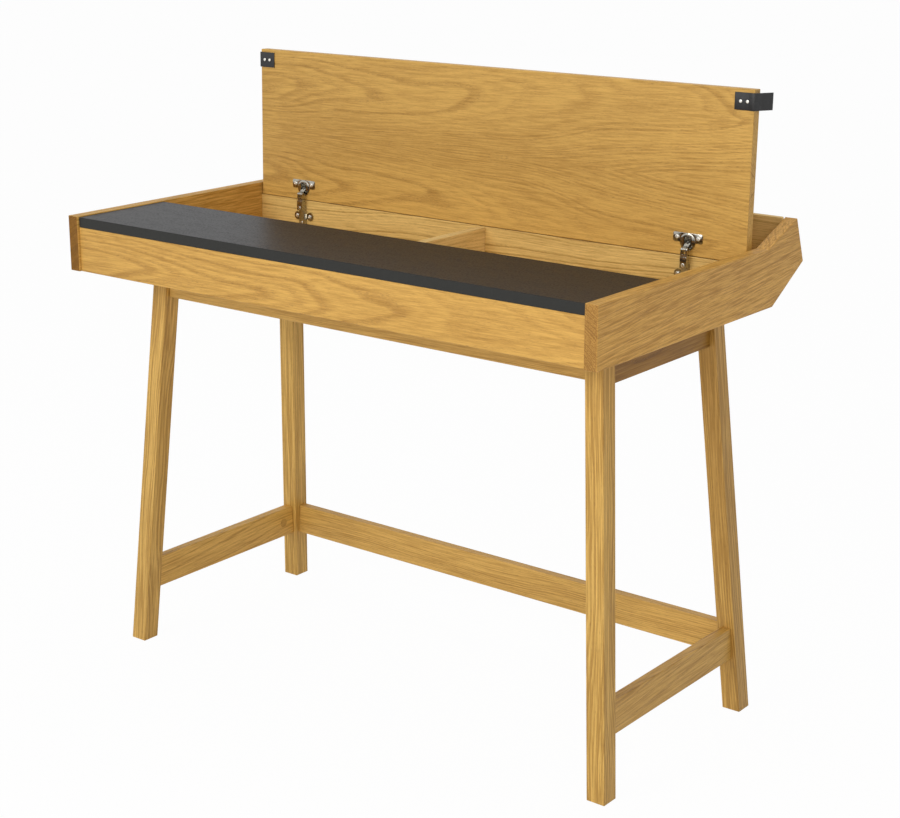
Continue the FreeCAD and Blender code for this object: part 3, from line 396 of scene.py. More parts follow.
def strip_material():
    """Dark matt laminate with a fine fleck."""
    colours = bpy.context.scene.flap_desk_colours
    tree, shader = new_material("dark_strip")
    place = add_node(tree, "ShaderNodeTexCoord").outputs
    fleck = noise(tree, place["Object"], (420.0, 240.0, 60.0), 3.0, 0.65).outputs["Fac"]
    cloud = noise(tree, place["Object"], (24.0, 60.0, 60.0), 3.0, 0.6).outputs["Fac"]
    patches = ramp_value(tree, cloud, 0.2, 0.8, 0.4, 1.0)
    mask = maths(tree, "MULTIPLY", ramp_value(tree, fleck, 0.35, 0.75), patches)
    body = mix_colour(tree, mask, rgba(colours.strip_top), rgba(colours.strip_fleck))
    upright = vector_maths(tree, "DOT_PRODUCT", place["Normal"], (0.0, 0.0, 1.0)).outputs["Value"]
    edge = ramp_value(tree, maths(tree, "ABSOLUTE", upright), 0.5, 0.9, 0.8, 0.0)
    body = mix_colour(tree, edge, body, rgba(colours.strip_edge))
    sheen = ramp_value(tree, mask, 0.0, 0.8, 0.35, 0.5)
    fill(tree, shader, {"Base Color": body, "Roughness": sheen, "Specular IOR Level": 0.1})
    bump(tree, shader, fleck, 0.0003, 0.5)


def leather_material():
    """Black leather with a pebbled grain."""
    colours = bpy.context.scene.flap_desk_colours
    tree, shader = new_material("black_leather")
    place = add_node(tree, "ShaderNodeTexCoord").outputs["Object"]
    grain = placed_group(tree, "pebble_grain", {"Vector": place, "Cells": 900.0})
    body = mix_colour(tree, grain["Mask"], rgba(colours.leather), rgba(colours.leather_worn))
    sheen = ramp_value(tree, grain["Mask"], 0.0, 1.0, 0.52, 0.4)
    fill(tree, shader, {"Base Color": body, "Roughness": sheen})
    bump(tree, shader, grain["Height"], 0.00015, 0.5)


def plated_material(name, bright, dull_tone, smoothest, roughest):
    """Plated metal with dull spots and a faint brushing."""
    tree, shader = new_material(name)
    place = add_node(tree, "ShaderNodeTexCoord").outputs["Object"]
    grain = placed_group(tree, "pebble_grain", {"Vector": place, "Cells": 420.0})
    brushed = noise(tree, place, (60.0, 60.0, 2600.0), 2.0).outputs["Fac"]
    dull = maths(tree, "MULTIPLY", grain["Mask"], 0.6)
    body = mix_colour(tree, dull, rgba(bright), rgba(dull_tone))
    sheen = ramp_value(tree, brushed, 0.2, 0.8, smoothest, roughest)
    fill(tree, shader, {"Base Color": body, "Metallic": 1.0, "Roughness": sheen})
    bump(tree, shader, brushed, 0.00002, 0.4)


# Modelling helpers
def deselect():
    """Leave edit mode and select nothing."""
    if bpy.context.object and bpy.context.object.mode != "OBJECT":
        bpy.ops.object.mode_set(mode="OBJECT")
    bpy.ops.object.select_all(action="DESELECT")


def activate(piece):
    """Select one piece alone, for the operators to act on."""
    deselect()
    piece.select_set(True)
    bpy.context.view_layer.objects.active = piece


def settle(piece):
    """Put the piece's place, turn and size into its mesh."""
    activate(piece)
    bpy.ops.object.transform_apply(location=True, rotation=True, scale=True)
    return piece


def block(name, size, at):
    """Cuboid to shape a piece from."""
    deselect()
    bpy.ops.mesh.primitive_cube_add(size=1.0, location=at)
    piece = bpy.context.object
    piece.name = name
    piece.scale = size
    return settle(piece)


def disc(name, radius, depth, at, along="Z", sides=40):
    """Cylinder along an axis, to shape a piece from."""
    turns = {"X": (0, math.pi / 2, 0), "Y": (math.pi / 2, 0, 0), "Z": (0, 0, 0)}
    deselect()
    bpy.ops.mesh.primitive_cylinder_add(vertices=sides, radius=radius, depth=depth, location=at,
                                        rotation=turns[along])
    piece = bpy.context.object
    piece.name = name
    return settle(piece)


def combine(piece, tools, operation):
    """Join or cut a piece with other shapes, which are used up."""
    for tool in tools:
        activate(piece)
        modifier = piece.modifiers.new("combine", "BOOLEAN")
        modifier.operation = operation
        modifier.object = tool
        modifier.solver = "EXACT"
        bpy.ops.object.modifier_apply(modifier=modifier.name)
        bpy.data.objects.remove(tool)
    return piece


def smooth(piece, angle=SMOOTH_ANGLE):
    """Shade a piece's curved faces smooth."""
    activate(piece)
    bpy.ops.object.shade_smooth_by_angle(angle=math.radians(angle))
    return piece


def soften(piece, width, segments=2, angle=SMOOTH_ANGLE):
    """Round the sharp edges and shade the curved faces smooth."""
    activate(piece)
    modifier = piece.modifiers.new("soften", "BEVEL")
    modifier.width = width
    modifier.segments = segments
    modifier.limit_method = "ANGLE"
    modifier.angle_limit = math.radians(angle)
    modifier.use_clamp_overlap = True
    bpy.ops.object.modifier_apply(modifier=modifier.name)
    return smooth(piece, angle)


def clear_mesh_selection(piece, kind):
    """Select nothing in a piece's mesh, ready to select its edges or faces in code."""
    activate(piece)
    bpy.ops.object.mode_set(mode="EDIT")
    bpy.ops.mesh.select_mode(type=kind)
    bpy.ops.mesh.select_all(action="DESELECT")
    bpy.ops.object.mode_set(mode="OBJECT")


def bevel_edges(piece, along, width, segments=5):
    """Round the edges of a piece that run along an axis."""
    axis = "XYZ".index(along)
    clear_mesh_selection(piece, "EDGE")
    vertices = piece.data.vertices
    for edge in piece.data.edges:
        run = vertices[edge.vertices[1]].co - vertices[edge.vertices[0]].co
        edge.select = abs(run[axis]) > 0.99 * run.length
    bpy.ops.object.mode_set(mode="EDIT")
    bpy.ops.mesh.bevel(offset=width, segments=segments, affect="EDGES")
    bpy.ops.object.mode_set(mode="OBJECT")
    return piece


def copy_at(piece, name, offset=(0, 0, 0), twist=0.0):
    """Copy of a piece with its own mesh, twisted about Z and moved by offset."""
    activate(piece)
    bpy.ops.object.duplicate(linked=False)
    copy = bpy.context.object
    copy.name = name
    copy.rotation_euler = (0.0, 0.0, twist)
    copy.location = offset
    return settle(copy)


def weld(name, pieces):
    """Join separate shapes into one object."""
    activate(pieces[0])
    for piece in pieces[1:]:
        piece.select_set(True)
    bpy.ops.object.join()
    joined = bpy.context.object
    joined.name = name
    return settle(joined)


def lay_on_flap(piece, at):
    """Turn a piece from the shut flap's frame to the open flap, with its origin at a point there."""
    piece.rotation_euler = (-TURN, 0.0, 0.0)
    piece.location = at
    return settle(piece)


def finish_piece(piece, finish, body, slot, *nodes):
    """Give a piece its finish and its body, and hide the CAD nodes that it replaces. The slot is not used.
    """
    piece.data.materials.clear()
    piece.data.materials.append(bpy.data.materials[finish])
    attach(piece, body)
    if nodes:
        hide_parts(*nodes)


def paint(nodes, finish):
    """Give CAD nodes a better finish in place of their plain one."""
    for name in nodes:
        mesh = frame["nodes"][name].data
        mesh.materials.clear()
        mesh.materials.append(bpy.data.materials[finish])


def wood_screw(name, radius, height, reach):
    """Pan head with a cross recess, on its shank. Its seat is at the origin, and its head faces -Z."""
    dome, shank = height * 0.55, radius * 0.46
    arm, slit = radius * 1.15, radius * 0.24
    head = soften(disc(f"{name}_head", radius, height, (0, 0, -height / 2)), dome, 5)
    cross = ((arm, slit, height), (slit, arm, height))
    recess = [block(f"{name}_slit", size, (0, 0, -height)) for size in cross]
    head = smooth(combine(head, recess, "DIFFERENCE"))
    body = disc(f"{name}_shank", shank, reach, (0, 0, reach / 2), sides=16)
    return weld(name, [head, body])


class DESK_OT_finishes(Operator):
    """Build the shared shader groups and the plain finishes"""

    bl_idname = "flap_desk.finishes"
    bl_label = "Shared Finishes"

    def execute(self, context):
        colours = context.scene.flap_desk_colours
        oak_group()
        grain_group()
        strip_material()
        leather_material()
        plated_material("nickel_plate", colours.nickel, colours.nickel_dull, smoothest=0.08, roughest=0.2)
        # The bright plate is partly real and partly painted light: painted highlight on the screws and
        # rivets, painted light in the cups' hollows
        plated_material("bright_plate_painted_light", colours.screw, colours.nickel, smoothest=0.22, roughest=0.38)
        return {"FINISHED"}


class DESK_OT_oak(Operator):
    """Give every oak board its own grain direction and figure"""

    bl_idname = "flap_desk.oak"
    bl_label = "Oak Boards"

    def execute(self, context):
        sizes = context.scene.flap_desk_sizes
        # pale and white are painted light: they lift the hinge wall, strip batten, box floor, divider and
        # rear boards, which stand in shade inside the box
        pale, white = (1.18, 1.4, 2.1), (1.34, 1.72, 3.3)
        seam = middle("flap").z - sizes.flap_seam
        self.board("oak_flap", ("flap",), (1, 0.05, 0.03), (-0.3, 0.205, 0.087), rings=0.6, contrast=0.42,
                   streaks=0.7, end_shade=0.1, tint=(1.0, 1.03, 1.08), seam=seam)
        self.board("oak_front", ("front_panel",), (1, 0.05, 0.02), (-0.3, -0.225, 0.675), rings=0.6,
                   contrast=0.48, streaks=0.7, end_shade=0.1)
        self.board("oak_wall_painted_light", ("hinge_wall", "strip_batten"), (1, 0.05, 0.012), (0.0, 0.09, 0.63),
                   rings=0.7, contrast=0.8, streaks=0.7, end_shade=0.3, tint=pale)
        self.board("oak_floor_painted_light", ("box_floor",), (1, 0.02, 0.01), (0.0, 0.0, 0.56), rings=0.6, contrast=0.4,
                   streaks=0.6, end_shade=0.3, tint=pale)
        self.board("oak_divider_painted_light", ("centre_divider",), (0.01, 1, 0.03), (0.09, 0.0, 0.62), rings=0.6,
                   contrast=0.4, streaks=0.6, end_shade=0.3, tint=white)
        self.board("oak_left_side", ("left_side_panel",), (0.04, 1, 0.03), (-0.42, 0.0, 0.60), streaks=1.1,
                   end_shade=1.0, tint=(1.06, 1.09, 1.25), gloss=0.12)
        self.board("oak_right_side", ("right_side_panel",), (0.04, 1, 0.06), (0.42, 0.0, 0.62),
                   contrast=0.45, streaks=1.25, end_shade=0.55, tint=(1.04, 1.01, 0.94))
        self.board("oak_rear", ("rear_board", "lower_rear_board"), (1, 0.03, 0.01), (0.1, 0.36, 0.62),
                   rings=0.6, streaks=0.6, end_shade=0.0, tint=white)
        self.board("oak_cross", ("front_rail", "rear_rail", "rear_stretcher"), (1, 0.02, 0.02),
                   (0.0, 0.05, 0.30), tint=(1.03, 1.08, 1.2))
        # The side rails' dark tint is painted shade, for the shade under the side panels' overhang
        self.board("oak_side_rails_painted_shade", ("left_rail", "right_rail"), (0.02, 1, 0.02), (0.12, 0.1, 0.5),
                   tint=(0.51, 0.44, 0.2))
        self.board("oak_left_stretcher", ("left_stretcher",), (0.02, 1, 0.02), (-0.3, 0.1, 0.26),
                   tint=(1.12, 1.18, 1.25))
        self.board("oak_right_stretcher", ("right_stretcher",), (0.02, 1, 0.02), (0.6, 0.1, 0.26),
                   tint=(0.97, 1.0, 1.02))
        self.board("oak_plugs", ("stretcher_plugs",), (0.2, 1, 0.1), (0.3, 0.1, 0.3), rings=1.0, streaks=0.6,
                   tint=(0.8, 0.8, 0.8))
        self.legs(sizes.leg_section)
        return {"FINISHED"}

    @staticmethod
    def board(name, nodes, direction, heart, **figure):
        """Oak of one figure on the boards that share it."""
        oak_material(name, direction, heart, **figure)
        paint(nodes, name)

    def legs(self, section):
        """Oak along each leg's own splay, with the heart outside the leg."""
        heart_x, heart_y = 0.13, 0.11
        tints = {"right_rear_leg": (0.96, 1.0, 1.1), "left_rear_leg": (1.16, 1.27, 1.46)}
        front_tint = (1.07, 1.15, 1.3)
        for side, sign in SIDES:
            for end, away in (("front", -1), ("rear", 1)):
                node = f"{side}_{end}_leg"
                low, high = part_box(node)
                run = high - low
                lean = (-sign * (run.x - section), -away * (run.y - section), run.z)
                heart = middle(node) + Vector((sign * heart_x, away * heart_y, 0.0))
                self.board(f"oak_{node}", (node,), lean, heart, rings=0.52, contrast=1.1, streaks=1.3,
                           tint=tints.get(node, front_tint))


class DESK_OT_wall_bead(Operator):
    """Model the thin bead on the hinge wall's top front edge, under the open flap"""

    bl_idname = "flap_desk.wall_bead"
    bl_label = "Wall Bead"

    def execute(self, context):
        sizes = context.scene.flap_desk_sizes
        low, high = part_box("hinge_wall")
        front, back = low.y - sizes.bead_proud, low.y + sizes.bead_depth
        foot, top = high.z - sizes.bead_foot, high.z + sizes.bead_rise
        bead = block("wall_bead", (high.x - low.x, back - front, top - foot),
                     ((low.x + high.x) / 2, (front + back) / 2, (foot + top) / 2))
        # The bead takes the hinge wall's oak, with its painted light
        finish_piece(soften(bead, EDGES["bead"]), "oak_wall_painted_light", "desk", "oak")
        return {"FINISHED"}


class DESK_OT_strip(Operator):
    """Give the desktop strip its dark matt finish"""

    bl_idname = "flap_desk.strip"
    bl_label = "Desktop Strip"

    def execute(self, context):
        paint(("desktop_strip",), "dark_strip")
        return {"FINISHED"}


class DESK_OT_wing_plates(Operator):
    """Model the wing plates that hold the hinge arms to the wall"""

    bl_idname = "flap_desk.wing_plates"
    bl_label = "Wing Plates"

    def execute(self, context):
        sizes = context.scene.flap_desk_sizes
        thick, half, radius = sizes.wing_thick, sizes.wing_gap / 2, sizes.wing_radius
        bar_height = radius * 1.25
        low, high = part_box("left_hinge_plate")
        plate = block("wing_plate", (2 * half, thick, bar_height), (0, -thick / 2, 0))
        parts = [disc("lobe", radius, thick, (step * half, -thick / 2, 0), "Y") for _, step in SIDES]
        saddle = Vector((sizes.saddle_width, high.y - low.y, high.z - low.z))
        parts.append(block("saddle", saddle, (0, -saddle.y / 2, 0)))
        plate = soften(combine(plate, parts, "UNION"), EDGES["wing"])
        for side, _ in SIDES:
            low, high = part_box(f"{side}_hinge_plate")
            spot = Vector(((low.x + high.x) / 2, high.y, (low.z + high.z) / 2))
            piece = copy_at(plate, f"{side}_wing_plate", spot)
            finish_piece(piece, "nickel_plate", "desk", "nickel", f"{side}_hinge_plate")
        bpy.data.objects.remove(plate)
        return {"FINISHED"}


class DESK_OT_arms(Operator):
    """Model the hinge arms with their forked noses"""

    bl_idname = "flap_desk.arms"
    bl_label = "Hinge Arms"

    def execute(self, context):
        arm = self.arm(context.scene.flap_desk_sizes)
        for side, _ in SIDES:
            piece = copy_at(arm, f"{side}_arm", (middle(f"{side}_hinge_arm").x, 0, 0))
            finish_piece(piece, "nickel_plate", "desk", "nickel", f"{side}_hinge_arm")
        bpy.data.objects.remove(arm)
        return {"FINISHED"}

    @staticmethod
    def arm(sizes):
        """Arm at the middle of the desk: nose with its knuckle and fork, proud part and low tail."""
        low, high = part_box("left_hinge_arm")
        width = high.x - low.x
        pins = middle("arm_pins")
        front, back = low.y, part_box("left_hinge_plate")[0].y
        radius = high.z - pins.z
        head, waist = pins.z - sizes.arm_head, middle("plate_screws").z + sizes.arm_waist
        nose_low = head - sizes.arm_nose
        lap = 0.001
        arm = block("hinge_arm", (width, 2 * radius, pins.z - nose_low),
                    (0, pins.y, (pins.z + nose_low) / 2))
        parts = [disc("knuckle", radius, width, (0, pins.y, pins.z), "X", 32)]
        proud = (head, waist, front - sizes.arm_step)
        tail = (head - lap, low.z, back - sizes.arm_tail)
        for top, foot, face in (proud, tail):
            parts.append(block("step", (width, back - face, top - foot),
                               (0, (face + back) / 2, (top + foot) / 2)))
        arm = combine(arm, parts, "UNION")
        link_low, link_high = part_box("left_hinge_link")
        gap, depth = link_high.x - link_low.x + sizes.fork_play, sizes.fork_depth
        fork = block("fork", (gap, 6 * radius, depth + 2 * radius), (0, pins.y, pins.z + radius - depth / 2))
        wide, deep, tall = GROOVE
        groove = block("tail_groove", (wide, 2 * deep, tall), (0, back - sizes.arm_tail, low.z + tall / 2))
        return soften(combine(arm, [fork, groove], "DIFFERENCE"), EDGES["arm"], 3)


class DESK_OT_cups(Operator):
    """Model the hinge cups with their screwed flanges and the cheeks that hold the cup pins"""

    bl_idname = "flap_desk.cups"
    bl_label = "Hinge Cups"

    def execute(self, context):
        sizes = context.scene.flap_desk_sizes
        inside = sizes.cup_radius - sizes.cup_wall
        hollow_depth = sizes.cup_depth - sizes.cup_wall
        cup = self.cup(sizes, inside, hollow_depth)
        cheeks = self.cheeks(sizes, inside, hollow_depth)
        spot = middle("cup_pins") + FLAP_UP * sizes.cup_offset - FLAP_BACK * sizes.cup_pin_depth
        for side, _ in SIDES:
            spot.x = middle(f"{side}_hinge_cup").x
            piece = lay_on_flap(copy_at(cup, f"{side}_cup"), spot)
            finish_piece(piece, "nickel_plate", "flap", "nickel", f"{side}_hinge_cup")
            # The cheeks take the bright plate as painted light, which lifts the shade deep in the cup's
            # hollow
            piece = lay_on_flap(copy_at(cheeks, f"{side}_cup_cheeks"), spot)
            finish_piece(piece, "bright_plate_painted_light", "flap", "nickel")
        bpy.data.objects.remove(cup)
        bpy.data.objects.remove(cheeks)
        return {"FINISHED"}

    @staticmethod
    def cup(sizes, inside, hollow_depth):
        """Cup with a slotted lid and a flange. It goes into the shut flap from below, where Z is 0."""
        thick = sizes.flange_thick
        flange = block("cup", (sizes.flange_width, sizes.flange_height, thick),
                       (0, -sizes.flange_offset, -thick / 2))
        flange = soften(bevel_edges(flange, "Z", sizes.flange_corner), EDGES["flange"])
        rim = thick + sizes.cup_rim
        shell = disc("shell", sizes.cup_radius, sizes.cup_depth + rim, (0, 0, (sizes.cup_depth - rim) / 2),
                     sides=CUP_SIDES)
        shell = soften(shell, EDGES["cup"])
        hollow = disc("hollow", inside, hollow_depth, (0, 0, hollow_depth / 2), sides=CUP_SIDES)
        slot_length = sizes.slot_up + sizes.slot_down
        slot = block("slot", (sizes.slot_width, slot_length, 6 * thick),
                     (0, sizes.slot_down - slot_length / 2, -thick))
        slot = bevel_edges(slot, "Z", sizes.slot_corner, 3)
        return smooth(combine(combine(flange, [shell], "UNION"), [hollow, slot], "DIFFERENCE"))

    @staticmethod
    def cheeks(sizes, inside, hollow_depth):
        """Fillings of the cup on both sides of the channel for the arm's nose."""
        loose = sizes.cheek_clearance
        cheeks = disc("cheeks", inside - loose, hollow_depth - 2 * loose, (0, 0, hollow_depth / 2),
                      sides=CUP_SIDES)
        channel = block("channel", (sizes.slot_width, 3 * inside, 2 * hollow_depth),
                        (0, 0, hollow_depth / 2))
        return soften(combine(cheeks, [channel], "DIFFERENCE"), EDGES["cup"])


class DESK_OT_link_plates(Operator):
    """Model the tapered plates on the hinge links, which stand in the open cups' slots"""

    bl_idname = "flap_desk.link_plates"
    bl_label = "Link Plates"

    def execute(self, context):
        sizes = context.scene.flap_desk_sizes
        thick, run = sizes.link_thick, LINK_TO - LINK_FROM
        eye_place = run.length * 0.24
        plate = block("link_plate", (sizes.link_width, run.length, thick), (0, 0, 0))
        clear_mesh_selection(plate, "FACE")
        for polygon in plate.data.polygons:
            polygon.select = polygon.normal.y < -0.5
        bpy.ops.object.mode_set(mode="EDIT")
        bpy.ops.transform.resize(value=(LINK_TAPER, 1.0, 1.0), center_override=(0.0, -run.length / 2, 0.0))
        bpy.ops.object.mode_set(mode="OBJECT")
        eye = disc("eye", sizes.link_eye, 4 * thick, (0, eye_place, 0), sides=24)
        plate = soften(combine(plate, [eye], "DIFFERENCE"), EDGES["link"])
        plate.rotation_euler = (math.atan2(run.z, run.y), 0.0, 0.0)
        settle(plate)
        spot = Vector(JOINTS["link_pivot"]["pos_m"]) + (LINK_FROM + LINK_TO) / 2
        for side, _ in SIDES:
            spot.x = middle(f"{side}_hinge_link").x
            finish_piece(copy_at(plate, f"{side}_link_plate", spot), "nickel_plate", "hinge_links", "nickel")
        bpy.data.objects.remove(plate)
        return {"FINISHED"}


class DESK_OT_fasteners(Operator):
    """Model the hinge screws, and finish the pins, links and frame bolts"""

    bl_idname = "flap_desk.fasteners"
    bl_label = "Fasteners"

    def execute(self, context):
        sizes = context.scene.flap_desk_sizes
        self.wood_screws(sizes)
        self.set_screws(sizes)
        paint(("arm_pins", "cup_pins", "left_hinge_link", "right_hinge_link"), "nickel_plate")
        paint(("stretcher_bolts", "barrel_nuts"), "nickel_plate")
        return {"FINISHED"}

    @staticmethod
    def wood_screws(sizes):
        """Screws of the wing plates and of the cups' flanges."""
        screw = wood_screw("screw", sizes.screw_radius, sizes.screw_height, sizes.screw_length)
        wall_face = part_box("plate_screws")[0].y + sizes.screw_height
        level = middle("plate_screws").z
        seat = middle("cup_pins") + FLAP_UP * (sizes.cup_offset + sizes.flange_offset)
        seat -= FLAP_BACK * (sizes.cup_pin_depth + sizes.flange_thick)
        wall, flange = [], []
        for side, _ in SIDES:
            for hand, step in SIDES:
                twist = SCREW_TWIST_STEP * step + SCREW_TWIST
                piece = copy_at(screw, f"{side}_{hand}_wall_screw", twist=twist)
                piece.rotation_euler = (-math.pi / 2, 0.0, 0.0)
                across = middle(f"{side}_hinge_plate").x + step * sizes.wing_gap / 2
                piece.location = (across, wall_face, level)
                wall.append(settle(piece))
                piece = copy_at(screw, f"{side}_{hand}_flange_screw", twist=twist)
                seat.x = middle(f"{side}_hinge_cup").x + step * sizes.flange_gap / 2
                flange.append(lay_on_flap(piece, seat))
        finish_piece(weld("wall_screws", wall), "bright_plate_painted_light", "desk", "nickel", "plate_screws")
        finish_piece(weld("flange_screws", flange), "bright_plate_painted_light", "flap", "nickel", "cup_screws")
        bpy.data.objects.remove(screw)

    @staticmethod
    def set_screws(sizes):
        """Two cross-slotted set screws in each arm, one in its proud part and one in its tail."""
        low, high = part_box("arm_screws")
        depth, radius = high.y - low.y, (high.z - low.z - sizes.set_gap) / 2
        screw = soften(disc("set_screw", radius, depth, (0, 0, 0), "Y"), EDGES["set_screw"])
        wide, deep, tall = SLIT
        cross = ((tall, 2 * deep, wide), (wide, 2 * deep, tall))
        slits = [block("slit", size, (0, -depth / 2, 0)) for size in cross]
        screw = smooth(combine(screw, slits, "DIFFERENCE"))
        level = middle("plate_screws").z
        tail_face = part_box("left_hinge_plate")[0].y - sizes.arm_tail
        upper = (0, (low.y + high.y) / 2 - sizes.arm_step, level + (sizes.arm_waist + sizes.set_upper))
        lower = (0, tail_face - sizes.set_rise + depth / 2, level - sizes.set_lower)
        screws = []
        for side, _ in SIDES:
            across = Vector((middle(f"{side}_hinge_arm").x, 0, 0))
            for hand, spot in (("upper", upper), ("lower", lower)):
                screws.append(copy_at(screw, f"{side}_{hand}_set_screw", across + Vector(spot)))
        finish_piece(weld("set_screws", screws), "bright_plate_painted_light", "desk", "nickel", "arm_screws")
        bpy.data.objects.remove(screw)


def strap(name, path, width, thick):
    """Leather strip drawn out along a path of X and Z places, about its mid-thickness."""
    same_place = 1e-6
    edge_share, crease_angle = 0.24, 50.0
    deselect()
    bpy.ops.mesh.primitive_plane_add(size=1.0)
    piece = bpy.context.object
    piece.name = name
    start, second = path[0], path[1]
    for vertex in piece.data.vertices:
        spot = start if vertex.co.x < 0 else second
        vertex.co = (spot[0], math.copysign(width / 2, vertex.co.y), spot[1])
    clear_mesh_selection(piece, "EDGE")
    vertices = piece.data.vertices
    for edge in piece.data.edges:
        edge.select = all(abs(vertices[v].co.x - second[0]) < same_place for v in edge.vertices)
    bpy.ops.object.mode_set(mode="EDIT")
    for before, after in zip(path[1:], path[2:]):
        step = (after[0] - before[0], 0.0, after[1] - before[1])
        bpy.ops.mesh.extrude_region_move(TRANSFORM_OT_translate={"value": step})
    bpy.ops.mesh.select_all(action="SELECT")
    bpy.ops.mesh.normals_make_consistent(inside=False)
    activate(piece)
    modifier = piece.modifiers.new("leather", "SOLIDIFY")
    modifier.thickness = thick
    modifier.offset = 0.0
    modifier.use_even_offset = True
    bpy.ops.object.modifier_apply(modifier=modifier.name)
    return soften(piece, thick * edge_share, 2, crease_angle)


class DESK_OT_pull_tabs(Operator):
    """Model the leather pull tabs and their rivets"""

    bl_idname = "flap_desk.pull_tabs"
    bl_label = "Pull Tabs"

    def execute(self, context):
        sizes = context.scene.flap_desk_sizes
        low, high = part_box("right_pull_tab")
        half = (high.x - low.x) / 2
        base = [(-half + step * TAB_STEP, 0.0) for step in range(int(2 * half / TAB_STEP) + 1)]
        self.right_tab(sizes, half, base)
        self.left_tab(sizes, half, base)
        self.rivets(sizes)
        return {"FINISHED"}

    @staticmethod
    def fold_turn():
        """Turn of the free end from the flap's face, from its solid's box."""
        low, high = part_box("right_tab_end")
        across = high.x - JOINTS["right_tab_fold"]["pos_m"][0]
        back = high.y - JOINTS["right_tab_fold"]["pos_m"][1]
        return math.atan2(back, across)

    def right_tab(self, sizes, half, base):
        """Right tab, which lifts off the flap's face and rolls back to its free end."""
        centre, turn = middle("right_pull_tab"), self.fold_turn()
        roll, lift = 2 * sizes.tab_thick, sizes.tab_thick
        flat, crest = half - sizes.tab_lift, half - sizes.tab_crest
        path = [spot for spot in base if spot[0] < flat]
        for step in range(1, LIFT_STEPS + 1):
            share = step / LIFT_STEPS
            path.append((flat + (crest - flat) * share, -lift * share * share * (3 - 2 * share)))
        for step in range(1, ROLL_STEPS + 1):
            angle = turn * step / ROLL_STEPS
            path.append((crest + roll * math.sin(angle), -lift + roll * (1 - math.cos(angle))))
        x, z = path[-1]
        for step in range(1, FREE_STEPS + 1):
            reach = sizes.tab_free * step / FREE_STEPS
            path.append((x + reach * math.cos(turn), z + reach * math.sin(turn)))
        tab = lay_on_flap(strap("right_leather_tab", path, sizes.tab_width, sizes.tab_thick), centre)
        tab.data.materials.append(bpy.data.materials["black_leather"])
        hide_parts("right_pull_tab", "right_tab_end")
        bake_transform(tab)

    @staticmethod
    def left_tab(sizes, half, base):
        """Left tab, which is folded round the flap's edge and lies along it."""
        centre = middle("right_pull_tab")
        radius = JOINTS["right_tab_fold"]["pos_m"][0] - centre.x - half
        path = [(-spot, z) for spot, z in base]
        path[-1] = (-half, 0.0)
        for step in range(1, FOLD_STEPS + 1):
            turn = math.pi / 2 * step / FOLD_STEPS
            path.append((-half - radius * math.sin(turn), radius * (1 - math.cos(turn))))
        low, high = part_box("left_pull_tab")
        tip = high.y - low.y - sizes.tab_thick
        for step in range(1, FREE_STEPS + 1):
            path.append((-half - radius, radius + (tip - radius) * step / FREE_STEPS))
        tab = strap("left_leather_tab", path, sizes.tab_width, sizes.tab_thick)
        tab = lay_on_flap(tab, (-centre.x, centre.y, centre.z))
        finish_piece(tab, "black_leather", "flap", "leather", "left_pull_tab")

    @staticmethod
    def rivets(sizes):
        """Two domed rivets in each tab."""
        height, reach = sizes.rivet_height, sizes.rivet_length
        head = soften(disc("rivet", sizes.rivet_radius, height, (0, 0, -height / 2)), EDGES["rivet"], 5)
        shank = disc("rivet_shank", sizes.rivet_shank, reach, (0, 0, reach / 2), sides=16)
        rivet = weld("rivet", [head, shank])
        seat = middle("right_pull_tab") - FLAP_BACK * sizes.tab_thick / 2
        rivets = []
        for side, sign in SIDES:
            for hand, step in SIDES:
                spot = (sign * seat.x + step * sizes.rivet_gap / 2, seat.y, seat.z)
                rivets.append(lay_on_flap(copy_at(rivet, f"{side}_{hand}_tab_rivet"), spot))
        finish_piece(weld("rivet_heads", rivets), "bright_plate_painted_light", "flap", "nickel", "tab_rivets")
        bpy.data.objects.remove(rivet)


